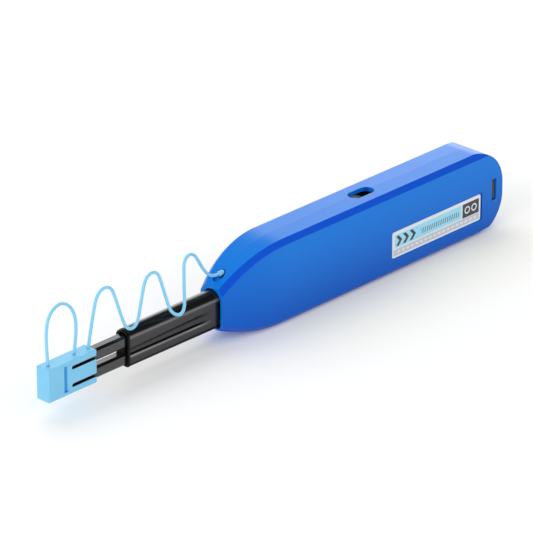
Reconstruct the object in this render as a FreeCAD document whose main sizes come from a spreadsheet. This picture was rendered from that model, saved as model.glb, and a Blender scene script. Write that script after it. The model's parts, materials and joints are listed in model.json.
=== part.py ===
"""Fibre connector cleaning pen: a push-to-clean tool with a twin nozzle for duplex connectors.

The row frame has +X towards the nozzle's tip, +Y towards the labelled side and +Z up. Its origin
is under the middle of the pen, on the flat that the case stands on. All sizes are millimetres.
"""
import FreeCAD, Part
import math
import os
import Sketcher
from FreeCAD import Placement, Rotation, Vector

# Driving dimensions. Each one is a cell of the spreadsheet, under the same name.
SIZES = {
    # case
    "case_length": 136.6,
    "case_height": 30.5,
    "case_width": 16.4,
    "case_wall": 1.5,
    "edge_bevel": 1.74,
    "nose_length": 27.0,
    "mouth_brow": 0.95,
    "mouth_sill": 0.9,
    "mouth_cheek": 0.95,
    "mouth_wall": 2.0,
    "mouth_gap": 0.65,
    "rear_top_radius": 14.0,
    "rear_foot_radius": 13.0,
    "boss_radius": 1.7,
    "boss_inset": 9.0,
    "boss_from_stop": 3.0,
    "boss_from_edge": 4.75,
    "boss_over_sleeve": 4.5,
    "peg_radius": 1.0,
    "peg_reach": 3.0,
    # window over the tape
    "window_from_rear": 63.95,
    "window_length": 10.9,
    "window_width": 5.4,
    # label and its recess
    "label_from_rear": 11.4,
    "label_length": 45.3,
    "label_height": 9.6,
    "label_foot": 5.95,
    "label_corner": 0.8,
    "label_depth": 0.3,
    "label_thick": 0.15,
    "label_gap": 0.35,
    # snap slot in the labelled side, and the stop that it holds
    "slot_from_rear": 3.3,
    "slot_length": 2.4,
    "slot_foot": 11.1,
    "slot_height": 7.95,
    "stop_from_wall": 1.5,
    "stop_length": 7.0,
    "stop_height": 13.0,
    "tab_gap": 0.45,
    "tab_inset": 0.5,
    # eyelet for the tether
    "eyelet_from_mouth": 3.7,
    "eyelet_width": 3.4,
    "eyelet_length": 5.4,
    "eyelet_depth": 1.1,
    # nozzle
    "nozzle_reach": 77.5,
    "sleeve_reach": 40.9,
    "sleeve_tail": 24.0,
    "sleeve_front_wall": 0.85,
    "sleeve_rear_wall": 1.3,
    "sleeve_crown": 1.64,
    "sleeve_sole": 0.56,
    "sleeve_arch": 2.2,
    "sleeve_corner": 1.5,
    "sleeve_rim": 0.7,
    "sleeve_throat": 5.0,
    "valley_depth": 0.45,
    "valley_height": 3.5,
    "bar_pitch": 6.25,
    "bar_width": 3.9,
    "bar_height": 4.4,
    "bar_bevel": 0.77,
    "bar_axis": 8.86,
    "bar_setback": 5.0,
    "bar_gap": 0.1,
    "fork_reach": 46.0,
    "snout_radius": 1.35,
    "snout_length": 1.8,
    "bore_radius": 0.8,
    # cleaning tips
    "tip_radius": 0.6,
    "tip_reach": 0.8,
    "tip_collar": 1.4,
    "tip_collar_length": 1.0,
    "tip_collar_from_front": 2.2,
    "tip_tail": 1.2,
    "tip_spring_length": 3.7,
    "tip_spring_radius": 1.05,
    "tip_spring_wire": 0.25,
    "tip_spring_turns": 3,
    "chamber_gap": 0.15,
    # guide cap
    "cap_length": 21.6,
    "cap_side_wall": 0.78,
    "cap_crown": 0.4,
    "cap_sole": 0.48,
    "cap_front_wall": 1.6,
    "cap_round": 0.35,
    "cap_slot_height": 1.3,
    "cap_slot_length": 11.2,
    "grip_from_front": 6.9,
    "grip_floor": 1.4,
    "grip_ramp": 1.6,
    "grip_depth": 0.7,
    "grip_margin": 1.2,
    # carriage that slides in the case
    "carriage_gap": 0.3,
    "plate_thick": 1.0,
    "carriage_room": 1.15,
    "front_block": 8.0,
    "rear_block": 3.5,
    "rear_block_gap": 0.5,
    "block_tuck": 0.5,
    "bar_tail": 2.0,
    "rail_height": 1.2,
    "pin_radius": 1.0,
    "pin_gap": 0.05,
    "snug": 0.02,
    "screw_radius": 0.7,
    "screw_head": 1.3,
    "screw_head_height": 0.7,
    "screw_reach": 2.8,
    "screw_from_top": 4.0,
    "screw_from_foot": 2.8,
    # reels and tape
    "flange_thick": 0.5,
    "end_gap": 0.2,
    "lane_gap": 0.1,
    "reel_clear": 0.35,
    "reel_spacing": 3.0,
    "supply_lift": 1.75,
    "supply_hub": 4.0,
    "tape_margin": 0.6,
    "take_up_flange": 9.5,
    "take_up_hub": 3.0,
    "take_up_tape": 5.0,
    "tape_width": 1.6,
    "tape_thick": 0.12,
    "tape_lift": 0.15,
    "high_gate_drop": 3.0,
    "low_gate_rise": 0.9,
    "guide_pin_rise": 3.0,
    "guide_pin_gap": 1.0,
    # drive
    "gear_module": 0.8,
    "pinion_teeth": 16,
    "rack_teeth": 9,
    "backlash": 0.14,
    "gear_thick": 1.8,
    "rack_body": 1.6,
    "hub_radius": 2.2,
    "ratchet_teeth": 12,
    "ratchet_radius": 5.0,
    "ratchet_depth": 0.8,
    "ratchet_thick": 0.8,
    "pawl_thick": 0.4,
    "pawl_gap": 0.1,
    "pawl_rise": 2.5,
    "leaf_thick": 0.3,
    "leaf_gap": 0.2,
    "leaf_drop": 1.5,
    # return spring
    "push_stroke": 11.0,
    "spring_radius": 3.6,
    "spring_wire": 0.35,
    "spring_turns": 6,
    "rod_radius": 2.0,
    "rod_length": 10.0,
    "rod_gap": 0.3,
    "seat_radius": 4.6,
    "seat_thick": 1.0,
    "port_height": 1.2,
    "port_depth": 3.0,
    # tether and pull loop
    "cord_radius": 0.55,
    "cord_gap": 0.05,
    "cord_tuck": 0.3,
    "knot_radius": 1.05,
    "loop_front": 2.5,
    "loop_rear": 14.1,
    "tether_from_front": 20.5,
}

doc = FreeCAD.newDocument("CleaningPen")
sheet = doc.addObject("Spreadsheet::Sheet", "Sizes")
nodes = {}


class Size:
    """A length together with the spreadsheet expression that it comes from."""

    def __init__(self, value, text):
        self.value = float(value)
        self.text = text

    def __add__(self, other):
        other = as_size(other)
        return Size(self.value + other.value, f"({self.text} + {other.text})")

    def __sub__(self, other):
        other = as_size(other)
        return Size(self.value - other.value, f"({self.text} - {other.text})")

    def __mul__(self, other):
        other = as_size(other)
        return Size(self.value * other.value, f"({self.text} * {other.text})")

    def __truediv__(self, other):
        other = as_size(other)
        return Size(self.value / other.value, f"({self.text} / {other.text})")

    def __neg__(self):
        return Size(-self.value, f"(0 - {self.text})")

    def __radd__(self, other):
        return as_size(other) + self

    def __rsub__(self, other):
        return as_size(other) - self

    def __rmul__(self, other):
        return as_size(other) * self

    def __rtruediv__(self, other):
        return as_size(other) / self


def as_size(number):
    """A Size as it is, or a plain number as a Size."""
    return number if isinstance(number, Size) else Size(number, f"{number:.9g}")


def root(size):
    """The square root of a Size."""
    return Size(math.sqrt(size.value), f"sqrt({size.text})")


def fill_sheet():
    """Writes the driving dimensions into the spreadsheet and gives each its alias."""
    cells = {}
    for row, (name, value) in enumerate(SIZES.items(), start=1):
        sheet.set(f"A{row}", name.replace("_", " "))
        sheet.set(f"B{row}", str(value))
        sheet.setAlias(f"B{row}", name)
        cells[name] = Size(value, f"Sizes.{name}")
    doc.recompute()
    return cells


S = fill_sheet()


def bind(item, prop, size):
    """Ties a property to a Size."""
    item.setExpression(prop, as_size(size).text)


def place(item, x, y, z, rotation=None):
    """Puts an object at a point whose coordinates are Sizes."""
    x, y, z = as_size(x), as_size(y), as_size(z)
    item.Placement = Placement(Vector(x.value, y.value, z.value), rotation or Rotation())
    for axis, size in zip("xyz", (x, y, z)):
        bind(item, f"Placement.Base.{axis}", size)
    return item


def keep(item, name):
    """Names a finished sub-part."""
    item.Label = name
    nodes[name] = item
    return item


# ---------------------------------------------------------------- sketches and features


def new_body(name):
    return doc.addObject("PartDesign::Body", name)


def new_sketch(body, plane, name, shift=None):
    """An empty sketch on one of the body's origin planes, moved along the plane's normal."""
    sketch = body.newObject("Sketcher::SketchObject", name)
    base = [f for f in body.Origin.OriginFeatures if f.Role == plane][0]
    sketch.AttachmentSupport = [(base, "")]
    sketch.MapMode = "FlatFace"
    if shift is not None:
        shift = as_size(shift)
        sketch.AttachmentOffset = Placement(Vector(0, 0, shift.value), Rotation())
        bind(sketch, "AttachmentOffset.Base.z", shift)
    return sketch


def fix(sketch, kind, geometry, point, size):
    """Holds a sketch point at a distance from the sketch's origin, or an arc at its radius."""
    size = as_size(size)
    if kind == "Radius":
        index = sketch.addConstraint(Sketcher.Constraint(kind, geometry, size.value))
    else:
        index = sketch.addConstraint(
            Sketcher.Constraint(kind, -1, 1, geometry, point, size.value)
        )
    if "Sizes." in size.text:
        bind(sketch, f"Constraints[{index}]", size)


def arc_between(start, end, radius):
    """The short arc from start to end; it turns left if the radius is positive, or right."""
    if radius < 0:
        return arc_between(end, start, -radius)
    chord = end - start
    rise = math.sqrt(max(radius**2 - chord.Length**2 / 4, 0))
    left = Vector(-chord.y, chord.x, 0).normalize()
    centre = (start + end) / 2 + left * rise
    angles = [math.atan2(p.y - centre.y, p.x - centre.x) for p in (start, end)]
    if angles[1] < angles[0]:
        angles[1] += 2 * math.pi
    circle = Part.Circle(centre, Vector(0, 0, 1), radius)
    return Part.ArcOfCircle(circle, angles[0], angles[1])


def draw(sketch, corners):
    """Adds a closed outline. A corner is (u, v), or (u, v, radius of the arc to the next)."""
    corners = [[as_size(c) for c in corner] for corner in corners]
    points = [Vector(c[0].value, c[1].value, 0) for c in corners]
    first = sketch.GeometryCount
    count = len(corners)
    ends = []
    for i, corner in enumerate(corners):
        start, end = points[i], points[(i + 1) % count]
        radius = corner[2] if len(corner) == 3 else None
        if radius is None:
            sketch.addGeometry(Part.LineSegment(start, end), False)
        else:
            sketch.addGeometry(arc_between(start, end, radius.value), False)
        ends.append((2, 1) if radius is not None and radius.value < 0 else (1, 2))
    for i in range(count):
        after = (i + 1) % count
        sketch.addConstraint(
            Sketcher.Constraint(
                "Coincident", first + i, ends[i][1], first + after, ends[after][0]
            )
        )
    for i, corner in enumerate(corners):
        fix(sketch, "DistanceX", first + i, ends[i][0], corner[0])
        fix(sketch, "DistanceY", first + i, ends[i][0], corner[1])
        if len(corner) == 3:
            radius = corner[2]
            fix(sketch, "Radius", first + i, 0, radius if radius.value > 0 else -radius)
    return sketch


def draw_circle(sketch, u, v, radius):
    """Adds a circle."""
    u, v, radius = as_size(u), as_size(v), as_size(radius)
    circle = Part.Circle(Vector(u.value, v.value, 0), Vector(0, 0, 1), radius.value)
    index = sketch.addGeometry(circle, False)
    fix(sketch, "DistanceX", index, 3, u)
    fix(sketch, "DistanceY", index, 3, v)
    fix(sketch, "Radius", index, 0, radius)
    return sketch


def rectangle(u0, u1, v0, v1):
    """The corners of a rectangle."""
    return [(u0, v0), (u1, v0), (u1, v1), (u0, v1)]


def rounded(u0, u1, v0, v1, r):
    """The corners of a rectangle with round corners."""
    return [
        (u0 + r, v0), (u1 - r, v0, r),
        (u1, v0 + r), (u1, v1 - r, r),
        (u1 - r, v1), (u0 + r, v1, r),
        (u0, v1 - r), (u0, v0 + r, r),
    ]


def feature(kind, body, sketch, length, name, middle=False, back=False):
    """A Pad or a Pocket of a sketch."""
    item = body.newObject(f"PartDesign::{kind}", name)
    item.Profile = sketch
    item.Midplane = middle
    item.Reversed = back
    bind(item, "Length", length)
    sketch.Visibility = False
    return item


def pad(body, sketch, length, name, middle=False, back=False):
    return feature("Pad", body, sketch, length, name, middle, back)


def pocket(body, sketch, length, name, middle=False, back=False):
    return feature("Pocket", body, sketch, length, name, middle, back)


def turned(body, sketch, name):
    """A full turn of a sketch about its vertical axis."""
    item = body.newObject("PartDesign::Revolution", name)
    item.Profile = sketch
    item.ReferenceAxis = (sketch, ["V_Axis"])
    item.Angle = 360
    return item


def edges_of(item, wanted):
    """The names of an object's edges that pass a test."""
    return [f"Edge{i}" for i, e in enumerate(item.Shape.Edges, start=1) if wanted(e)]


def dress(kind, body, base, names, size, name):
    """A chamfer or fillet of the named edges."""
    item = body.newObject(f"PartDesign::{kind}", name)
    item.Base = (base, names)
    bind(item, "Size" if kind == "Chamfer" else "Radius", size)
    return item


# ---------------------------------------------------------------- primitives and booleans


def box(name, x0, x1, y0, y1, z0, z1):
    item = doc.addObject("Part::Box", name)
    bind(item, "Length", as_size(x1) - x0)
    bind(item, "Width", as_size(y1) - y0)
    bind(item, "Height", as_size(z1) - z0)
    return place(item, x0, y0, z0)


def rod_across(name, x, z, y0, y1, radius):
    """A cylinder along Y."""
    item = doc.addObject("Part::Cylinder", name)
    bind(item, "Radius", radius)
    bind(item, "Height", as_size(y1) - y0)
    return place(item, x, y0, z, Rotation(Vector(1, 0, 0), -90))


def rod_along(name, x0, x1, y, z, radius):
    """A cylinder along X."""
    item = doc.addObject("Part::Cylinder", name)
    bind(item, "Radius", radius)
    bind(item, "Height", as_size(x1) - x0)
    return place(item, x0, y, z, Rotation(Vector(0, 1, 0), 90))


def fuse(name, *shapes):
    item = doc.addObject("Part::MultiFuse", name)
    item.Shapes = list(shapes)
    item.Refine = True
    return item


def cut(name, base, *tools):
    item = doc.addObject("Part::Cut", name)
    item.Base = base
    item.Tool = tools[0] if len(tools) == 1 else fuse(f"{name}_tools", *tools)
    item.Refine = True
    return item


def common(name, one, other):
    item = doc.addObject("Part::Common", name)
    item.Base = one
    item.Tool = other
    item.Refine = True
    return item


def compound(name, *shapes):
    item = doc.addObject("Part::Compound", name)
    item.Links = list(shapes)
    return item


# ---------------------------------------------------------------- stations along the pen

REAR = -(S["case_length"] + S["nozzle_reach"]) / 2
MOUTH = REAR + S["case_length"]
CAP_FRONT = MOUTH + S["nozzle_reach"]
NOSE = MOUTH - S["nose_length"]
SIDE = S["case_width"] / 2
INSIDE = SIDE - S["case_wall"]
WINDOW = REAR + S["window_from_rear"]
UPPER = S["bar_axis"] + S["bar_pitch"]
LOWER = S["bar_axis"]
BAR_TOP = UPPER + S["bar_height"] / 2
BAR_FOOT = LOWER - S["bar_height"] / 2
BAR_SIDE = S["bar_width"] / 2
BAR_FRONT = CAP_FRONT - S["bar_setback"]
FORK = MOUTH + S["fork_reach"]
SLEEVE_FRONT = MOUTH + S["sleeve_reach"]
SLEEVE_REAR = MOUTH - S["sleeve_tail"]
SLEEVE_TOP = BAR_TOP + S["bar_gap"] + S["sleeve_crown"]
SLEEVE_FOOT = BAR_FOOT - S["bar_gap"] - S["sleeve_sole"]
SLEEVE_FRONT_SIDE = BAR_SIDE + S["bar_gap"] + S["sleeve_front_wall"]
SLEEVE_REAR_SIDE = BAR_SIDE + S["bar_gap"] + S["sleeve_rear_wall"]
CAP_TOP = BAR_TOP + S["bar_gap"] + S["cap_crown"]
CAP_FOOT = BAR_FOOT - S["bar_gap"] - S["cap_sole"]
CAP_SIDE = BAR_SIDE + S["bar_gap"] + S["cap_side_wall"]
NOSE_DROP = S["case_height"] - SLEEVE_TOP - S["mouth_brow"]
CHIN_RISE = SLEEVE_FOOT - S["mouth_sill"]
MOUTH_SIDE = SLEEVE_REAR_SIDE + S["mouth_gap"] + S["mouth_cheek"]

AXIS_Z = S["case_height"] / 2
CARRIAGE_FRONT = SLEEVE_REAR
CARRIAGE_FOOT = S["case_wall"] + S["carriage_room"]
CARRIAGE_TOP = S["case_height"] - S["case_wall"] - S["carriage_room"]
SUPPLY_X = WINDOW
SUPPLY_Z = AXIS_Z + S["supply_lift"]
SUPPLY_FLANGE = CARRIAGE_TOP - S["reel_clear"] - SUPPLY_Z
SUPPLY_TAPE = SUPPLY_FLANGE - S["tape_margin"]
TAKE_UP_X = SUPPLY_X - SUPPLY_FLANGE - S["reel_spacing"] - S["take_up_flange"]
REAR_BLOCK_FRONT = TAKE_UP_X - S["take_up_flange"] - S["rear_block_gap"]
CARRIAGE_REAR = REAR_BLOCK_FRONT - S["rear_block"]
BLOCK_REAR = CARRIAGE_FRONT - S["front_block"]
CARRIAGE_SIDE = INSIDE - S["carriage_gap"]
LEFT_PLATE = -CARRIAGE_SIDE + S["plate_thick"]
GEAR_OUTER = CARRIAGE_SIDE
GEAR_INNER = GEAR_OUTER - S["gear_thick"]
RIGHT_PLATE = GEAR_INNER - S["end_gap"] - S["plate_thick"]

# Lanes of the two tapes across the reels, from the left plate to the right one.
LEFT_FLANGE = LEFT_PLATE + S["end_gap"]
REEL_END = RIGHT_PLATE - S["end_gap"] - S["ratchet_thick"]
LANE_WIDTH = (REEL_END - LEFT_FLANGE - S["flange_thick"] * 3) / 2
LEFT_LANE = LEFT_FLANGE + S["flange_thick"]
MID_FLANGE = LEFT_LANE + LANE_WIDTH
RIGHT_LANE = MID_FLANGE + S["flange_thick"]
RIGHT_FLANGE = RIGHT_LANE + LANE_WIDTH
LANES = {"left": LEFT_LANE, "right": RIGHT_LANE}

PITCH_RADIUS = S["gear_module"] * S["pinion_teeth"] / 2
RACK_PITCH_Z = AXIS_Z - PITCH_RADIUS
RACK_STEP = S["gear_module"] * math.pi

STOP_REAR = REAR + S["case_wall"] + S["stop_from_wall"]
STOP_FRONT = STOP_REAR + S["stop_length"]


# ---------------------------------------------------------------- case


def swept_radius(run, drop):
    """The radius of an arc that leaves a straight line and drops away over a run."""
    return (run * run + drop * drop) / (2 * drop)


def case_blank(name, inset, front):
    """The case's solid form, drawn in by an inset and ending at a front station."""
    run = front - NOSE
    top_radius = swept_radius(S["nose_length"], NOSE_DROP)
    chin_radius = swept_radius(S["nose_length"], CHIN_RISE)
    plan_radius = swept_radius(S["nose_length"], SIDE - MOUTH_SIDE)
    top_arc, chin_arc, plan_arc = (r - inset for r in (top_radius, chin_radius, plan_radius))
    front_top = S["case_height"] - top_radius + root(top_arc * top_arc - run * run)
    front_foot = chin_radius - root(chin_arc * chin_arc - run * run)
    front_side = SIDE - plan_radius + root(plan_arc * plan_arc - run * run)
    rear, top, foot, side = REAR + inset, S["case_height"] - inset, as_size(inset), SIDE - inset

    body = new_body(name)
    profile = draw(new_sketch(body, "XZ_Plane", f"{name}_profile"), [
        (rear, foot),
        (NOSE, foot, chin_arc),
        (front, front_foot),
        (front, front_top, top_arc),
        (NOSE, top),
        (rear, top),
    ])
    pad(body, profile, side * 2, f"{name}_block", middle=True)
    plan = new_sketch(body, "XY_Plane", f"{name}_plan")
    draw(plan, [
        (NOSE, side), (NOSE, side + 2), (front + 1, side + 2), (front + 1, front_side),
        (front, front_side, plan_arc),
    ])
    draw(plan, [
        (NOSE, -side), (NOSE, -side - 2), (front + 1, -side - 2), (front + 1, -front_side),
        (front, -front_side, -plan_arc),
    ])
    tapered = pocket(body, plan, S["case_height"] * 3, f"{name}_taper", middle=True)
    doc.recompute()
    long_edges = edges_of(tapered, lambda e: e.BoundBox.XLength > 1)
    bevel = S["edge_bevel"] - inset * (2 - math.sqrt(2))
    dress("Chamfer", body, tapered, long_edges, bevel, f"{name}_bevel")
    rear_round(body, name, inset, S["rear_top_radius"], top, 1)
    rear_round(body, name, inset, S["rear_foot_radius"], foot, -1)
    return body


def rear_round(body, name, inset, radius, level, way):
    """Rounds the case's rear at the top (way 1) or at the foot (way -1)."""
    r = radius - inset
    rear = REAR + inset
    outline = [
        (rear, level - r * way, -r * way),
        (rear + r, level),
        (rear + r, level + 2 * way),
        (rear - 2, level + 2 * way),
        (rear - 2, level - r * way),
    ]
    tag = "top" if way > 0 else "foot"
    sketch = draw(new_sketch(body, "XZ_Plane", f"{name}_rear_{tag}_outline"), outline)
    pocket(body, sketch, S["case_width"] * 2, f"{name}_rear_{tag}", middle=True)


def mouth_opening():
    """The arched hole that the nozzle slides in, through the case's front wall."""
    body = new_body("mouth_opening")
    half = SLEEVE_REAR_SIDE + S["mouth_gap"]
    top = SLEEVE_TOP + S["carriage_gap"]
    foot = SLEEVE_FOOT - S["carriage_gap"]
    spring = SLEEVE_TOP - S["sleeve_arch"] - 0.9
    arch = swept_radius(half, top - spring)
    sketch = new_sketch(body, "YZ_Plane", "mouth_outline", MOUTH - S["mouth_wall"] - 1)
    draw(sketch, [
        (half, foot + 1), (half, spring, arch), (0, top, arch), (-half, spring),
        (-half, foot + 1, 1), (1 - half, foot), (half - 1, foot, 1),
    ])
    pad(body, sketch, S["mouth_wall"] + 3, "mouth_cut")
    return body


def window_cutter():
    """The stadium-shaped window in the top, over the supply reel."""
    body = new_body("window")
    half, r = S["window_length"] / 2, S["window_width"] / 2
    sketch = new_sketch(body, "XY_Plane", "window_outline", S["case_height"] - S["case_wall"] - 1)
    draw(sketch, [
        (WINDOW - half + r, -r), (WINDOW + half - r, -r, r), (WINDOW + half, 0, r),
        (WINDOW + half - r, r), (WINDOW - half + r, r, r), (WINDOW - half, 0, r),
    ])
    pad(body, sketch, S["case_wall"] + 2, "window_cut")
    return body


def slope_point(from_mouth):
    """A point on the middle of the case's sloping front, and the slope there."""
    run = S["nose_length"] - from_mouth
    radius = swept_radius(S["nose_length"], NOSE_DROP)
    height = S["case_height"] - radius + root(radius * radius - run * run)
    slope = math.degrees(math.asin(run.value / radius.value))
    return MOUTH - from_mouth, height, slope


def eyelet_cutter():
    """The oval pocket in the slope with a hole at its upper end, which holds the tether."""
    x, z, slope = slope_point(S["eyelet_from_mouth"])
    body = new_body("eyelet")
    reach, r = S["eyelet_length"] / 2, S["eyelet_width"] / 2
    oval = new_sketch(body, "XY_Plane", "eyelet_outline", -S["eyelet_depth"])
    draw(oval, [
        (r - reach, -r), (reach - r, -r, r), (reach, 0, r), (reach - r, r),
        (r - reach, r, r), (-reach, 0, r),
    ])
    pad(body, oval, S["eyelet_depth"] + 2, "eyelet_pocket")
    hole = new_sketch(body, "XY_Plane", "eyelet_hole_outline", -S["eyelet_depth"] - 2)
    draw_circle(hole, r - reach, 0, S["knot_radius"] + 0.2)
    pad(body, hole, S["eyelet_depth"] + 3, "eyelet_hole")
    return place(body, x, 0, z, Rotation(Vector(0, 1, 0), slope))


def boss(name, x, z, side):
    """A round boss inside the case, from one side wall to the parting plane."""
    far = INSIDE + S["case_wall"] / 2
    y0, y1 = (0, far) if side > 0 else (-far, 0)
    return rod_across(name, x, z, y0, y1, S["boss_radius"])


def case_halves():
    """The two shells, parted along the middle, with their bosses, pegs and sockets."""
    outer = case_blank("case_outer", 0, MOUTH)
    hollow = case_blank("case_hollow", S["case_wall"], MOUTH - S["mouth_wall"])
    shell = cut("case_shell", outer, hollow, mouth_opening(), window_cutter(), eyelet_cutter())
    margin = S["case_wall"] * 3
    high = S["case_height"] + margin
    left_room = box("left_room", REAR - margin, MOUTH + margin, -SIDE - margin, 0, -margin, high)
    right_room = box("right_room", REAR - margin, MOUTH + margin, 0, SIDE + margin, -margin, high)
    behind = STOP_FRONT + S["boss_from_stop"]
    spots = {
        "front": (NOSE + S["boss_inset"], SLEEVE_TOP + S["boss_over_sleeve"]),
        "upper": (behind, S["case_height"] - S["case_wall"] - S["boss_from_edge"]),
        "lower": (behind, S["case_wall"] + S["boss_from_edge"]),
    }
    left_parts = [common("left_shell", shell, left_room)]
    right_parts = [common("right_shell", shell, right_room)]
    sockets = []
    for tag, (x, z) in spots.items():
        left_parts.append(boss(f"left_boss_{tag}", x, z, -1))
        left_parts.append(rod_across(f"peg_{tag}", x, z, -1, S["peg_reach"], S["peg_radius"]))
        right_parts.append(boss(f"right_boss_{tag}", x, z, 1))
        sockets.append(rod_across(
            f"socket_{tag}", x, z, -1, S["peg_reach"] + 0.3, S["peg_radius"] + S["snug"]
        ))
    keep(fuse("case_left_body", *left_parts), "case_left")
    right = fuse("case_right_blank", *right_parts)
    keep(cut("case_right_body", right, label_recess(), snap_slot(), *sockets), "case_right")


LABEL_REAR = REAR + S["label_from_rear"]
LABEL_FRONT = LABEL_REAR + S["label_length"]
LABEL_TOP = S["label_foot"] + S["label_height"]


def label_recess():
    """The shallow recess around the label."""
    body = new_body("label_recess")
    sketch = new_sketch(body, "XZ_Plane", "recess_outline", -SIDE - 1)
    edge = S["label_gap"]
    draw(sketch, rounded(
        LABEL_REAR - edge * 2, LABEL_FRONT + edge, S["label_foot"] - edge, LABEL_TOP + edge,
        S["label_corner"],
    ))
    pad(body, sketch, S["label_depth"] + 1, "recess_cut")
    return body


def label():
    """The printed label, a thin sheet with round corners."""
    body = new_body("label_body")
    sketch = new_sketch(body, "XZ_Plane", "label_outline", S["label_depth"] - SIDE)
    draw(sketch, rounded(
        LABEL_REAR, LABEL_FRONT, S["label_foot"], LABEL_TOP, S["label_corner"]
    ))
    pad(body, sketch, S["label_thick"], "label_sheet", back=True)
    keep(body, "label")


SLOT_REAR = REAR + S["slot_from_rear"]
SLOT_FRONT = SLOT_REAR + S["slot_length"]
SLOT_TOP = S["slot_foot"] + S["slot_height"]


def snap_slot():
    """The slot that the rear stop's tab snaps into."""
    return box(
        "snap_slot", SLOT_REAR, SLOT_FRONT, INSIDE - 1, SIDE + 1, S["slot_foot"], SLOT_TOP
    )


def rear_stop():
    """The block that the return spring pushes on, with its snap tab and the rod's bore."""
    low, high = AXIS_Z - S["stop_height"] / 2, AXIS_Z + S["stop_height"] / 2
    block = box("stop_block", STOP_REAR, STOP_FRONT, -INSIDE, INSIDE, low, high)
    gap = S["tab_gap"]
    tab = box(
        "stop_tab", SLOT_REAR + gap, SLOT_FRONT - gap, INSIDE - 1, SIDE - S["tab_inset"],
        S["slot_foot"] + gap, SLOT_TOP - gap,
    )
    bore = rod_along(
        "stop_bore", STOP_REAR - 1, STOP_FRONT + 1, 0, AXIS_Z, S["rod_radius"] + S["rod_gap"]
    )
    keep(cut("rear_stop_body", fuse("stop_blank", block, tab), bore), "rear_stop")


# ---------------------------------------------------------------- nozzle


def sleeve_outline(half, valley, inset=0):
    """The corners of the sleeve's section: an arch over flat sides with a valley in each."""
    half = half - inset
    top = SLEEVE_TOP - inset
    spring = SLEEVE_TOP - S["sleeve_arch"] - inset / 2
    arch = swept_radius(half, top - spring)
    foot, r = SLEEVE_FOOT + inset, S["sleeve_corner"] - inset
    middle = (UPPER + LOWER) / 2
    upper, lower = middle + S["valley_height"] / 2, middle - S["valley_height"] / 2
    step = S["valley_height"] / 5
    right = [
        (half, foot + r), (half, lower), (half - valley, lower + step),
        (half - valley, upper - step), (half, upper), (half, spring, arch),
    ]
    left = [
        (-half, spring), (-half, upper), (valley - half, upper - step),
        (valley - half, lower + step), (-half, lower), (-half, foot + r, r),
    ]
    return right + [(0, top, arch)] + left + [(r - half, foot), (half - r, foot, r)]


def nozzle_sleeve():
    """The black sleeve round the nozzle, with its rounded rim and its valleys."""
    body = new_body("sleeve_body")
    rear_half, front_half = SLEEVE_REAR_SIDE, SLEEVE_FRONT_SIDE
    start = MOUTH - S["mouth_wall"]
    tail = new_sketch(body, "YZ_Plane", "sleeve_tail_outline", SLEEVE_REAR)
    draw(tail, sleeve_outline(rear_half, as_size(0.02)))
    pad(body, tail, start - SLEEVE_REAR, "sleeve_tail")
    wide = new_sketch(body, "YZ_Plane", "sleeve_wide_outline", start)
    draw(wide, sleeve_outline(rear_half, as_size(0.02)))
    slim = new_sketch(body, "YZ_Plane", "sleeve_slim_outline", SLEEVE_FRONT - S["sleeve_rim"])
    draw(slim, sleeve_outline(front_half, S["valley_depth"]))
    rim = new_sketch(body, "YZ_Plane", "sleeve_rim_outline", SLEEVE_FRONT)
    draw(rim, sleeve_outline(front_half, S["valley_depth"], S["sleeve_rim"] * 0.6))
    for name, profile, section in (("sleeve_loft", wide, slim), ("sleeve_lip", slim, rim)):
        loft = body.newObject("PartDesign::AdditiveLoft", name)
        loft.Profile = profile
        loft.Sections = [section]
        loft.Ruled = True
    room = S["bar_gap"]
    bore = new_sketch(body, "YZ_Plane", "sleeve_bore_outline", SLEEVE_REAR - 1)
    draw(bore, rectangle(-BAR_SIDE - room, BAR_SIDE + room, BAR_FOOT - room, BAR_TOP + room))
    pocket(body, bore, S["sleeve_reach"] + S["sleeve_tail"] + 2, "sleeve_bore", back=True)
    throat = new_sketch(body, "YZ_Plane", "sleeve_throat_outline", SLEEVE_FRONT + 1)
    half = BAR_SIDE + 2 * room
    top = SLEEVE_TOP - 0.6
    draw(throat, [
        (half, BAR_FOOT - room), (half, BAR_TOP - 0.2, swept_radius(half, top - BAR_TOP + 0.2)),
        (0, top, swept_radius(half, top - BAR_TOP + 0.2)), (-half, BAR_TOP - 0.2),
        (-half, BAR_FOOT - room),
    ])
    pocket(body, throat, S["sleeve_throat"] + 1, "sleeve_throat")
    keep(body, "nozzle_sleeve")


def bar_outline(foot, top):
    """The corners of a bar's section, with bevelled edges."""
    half, c = BAR_SIDE, S["bar_bevel"]
    return [
        (c - half, foot), (half - c, foot), (half, foot + c), (half, top - c),
        (half - c, top), (c - half, top), (-half, top - c), (-half, foot + c),
    ]


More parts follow.
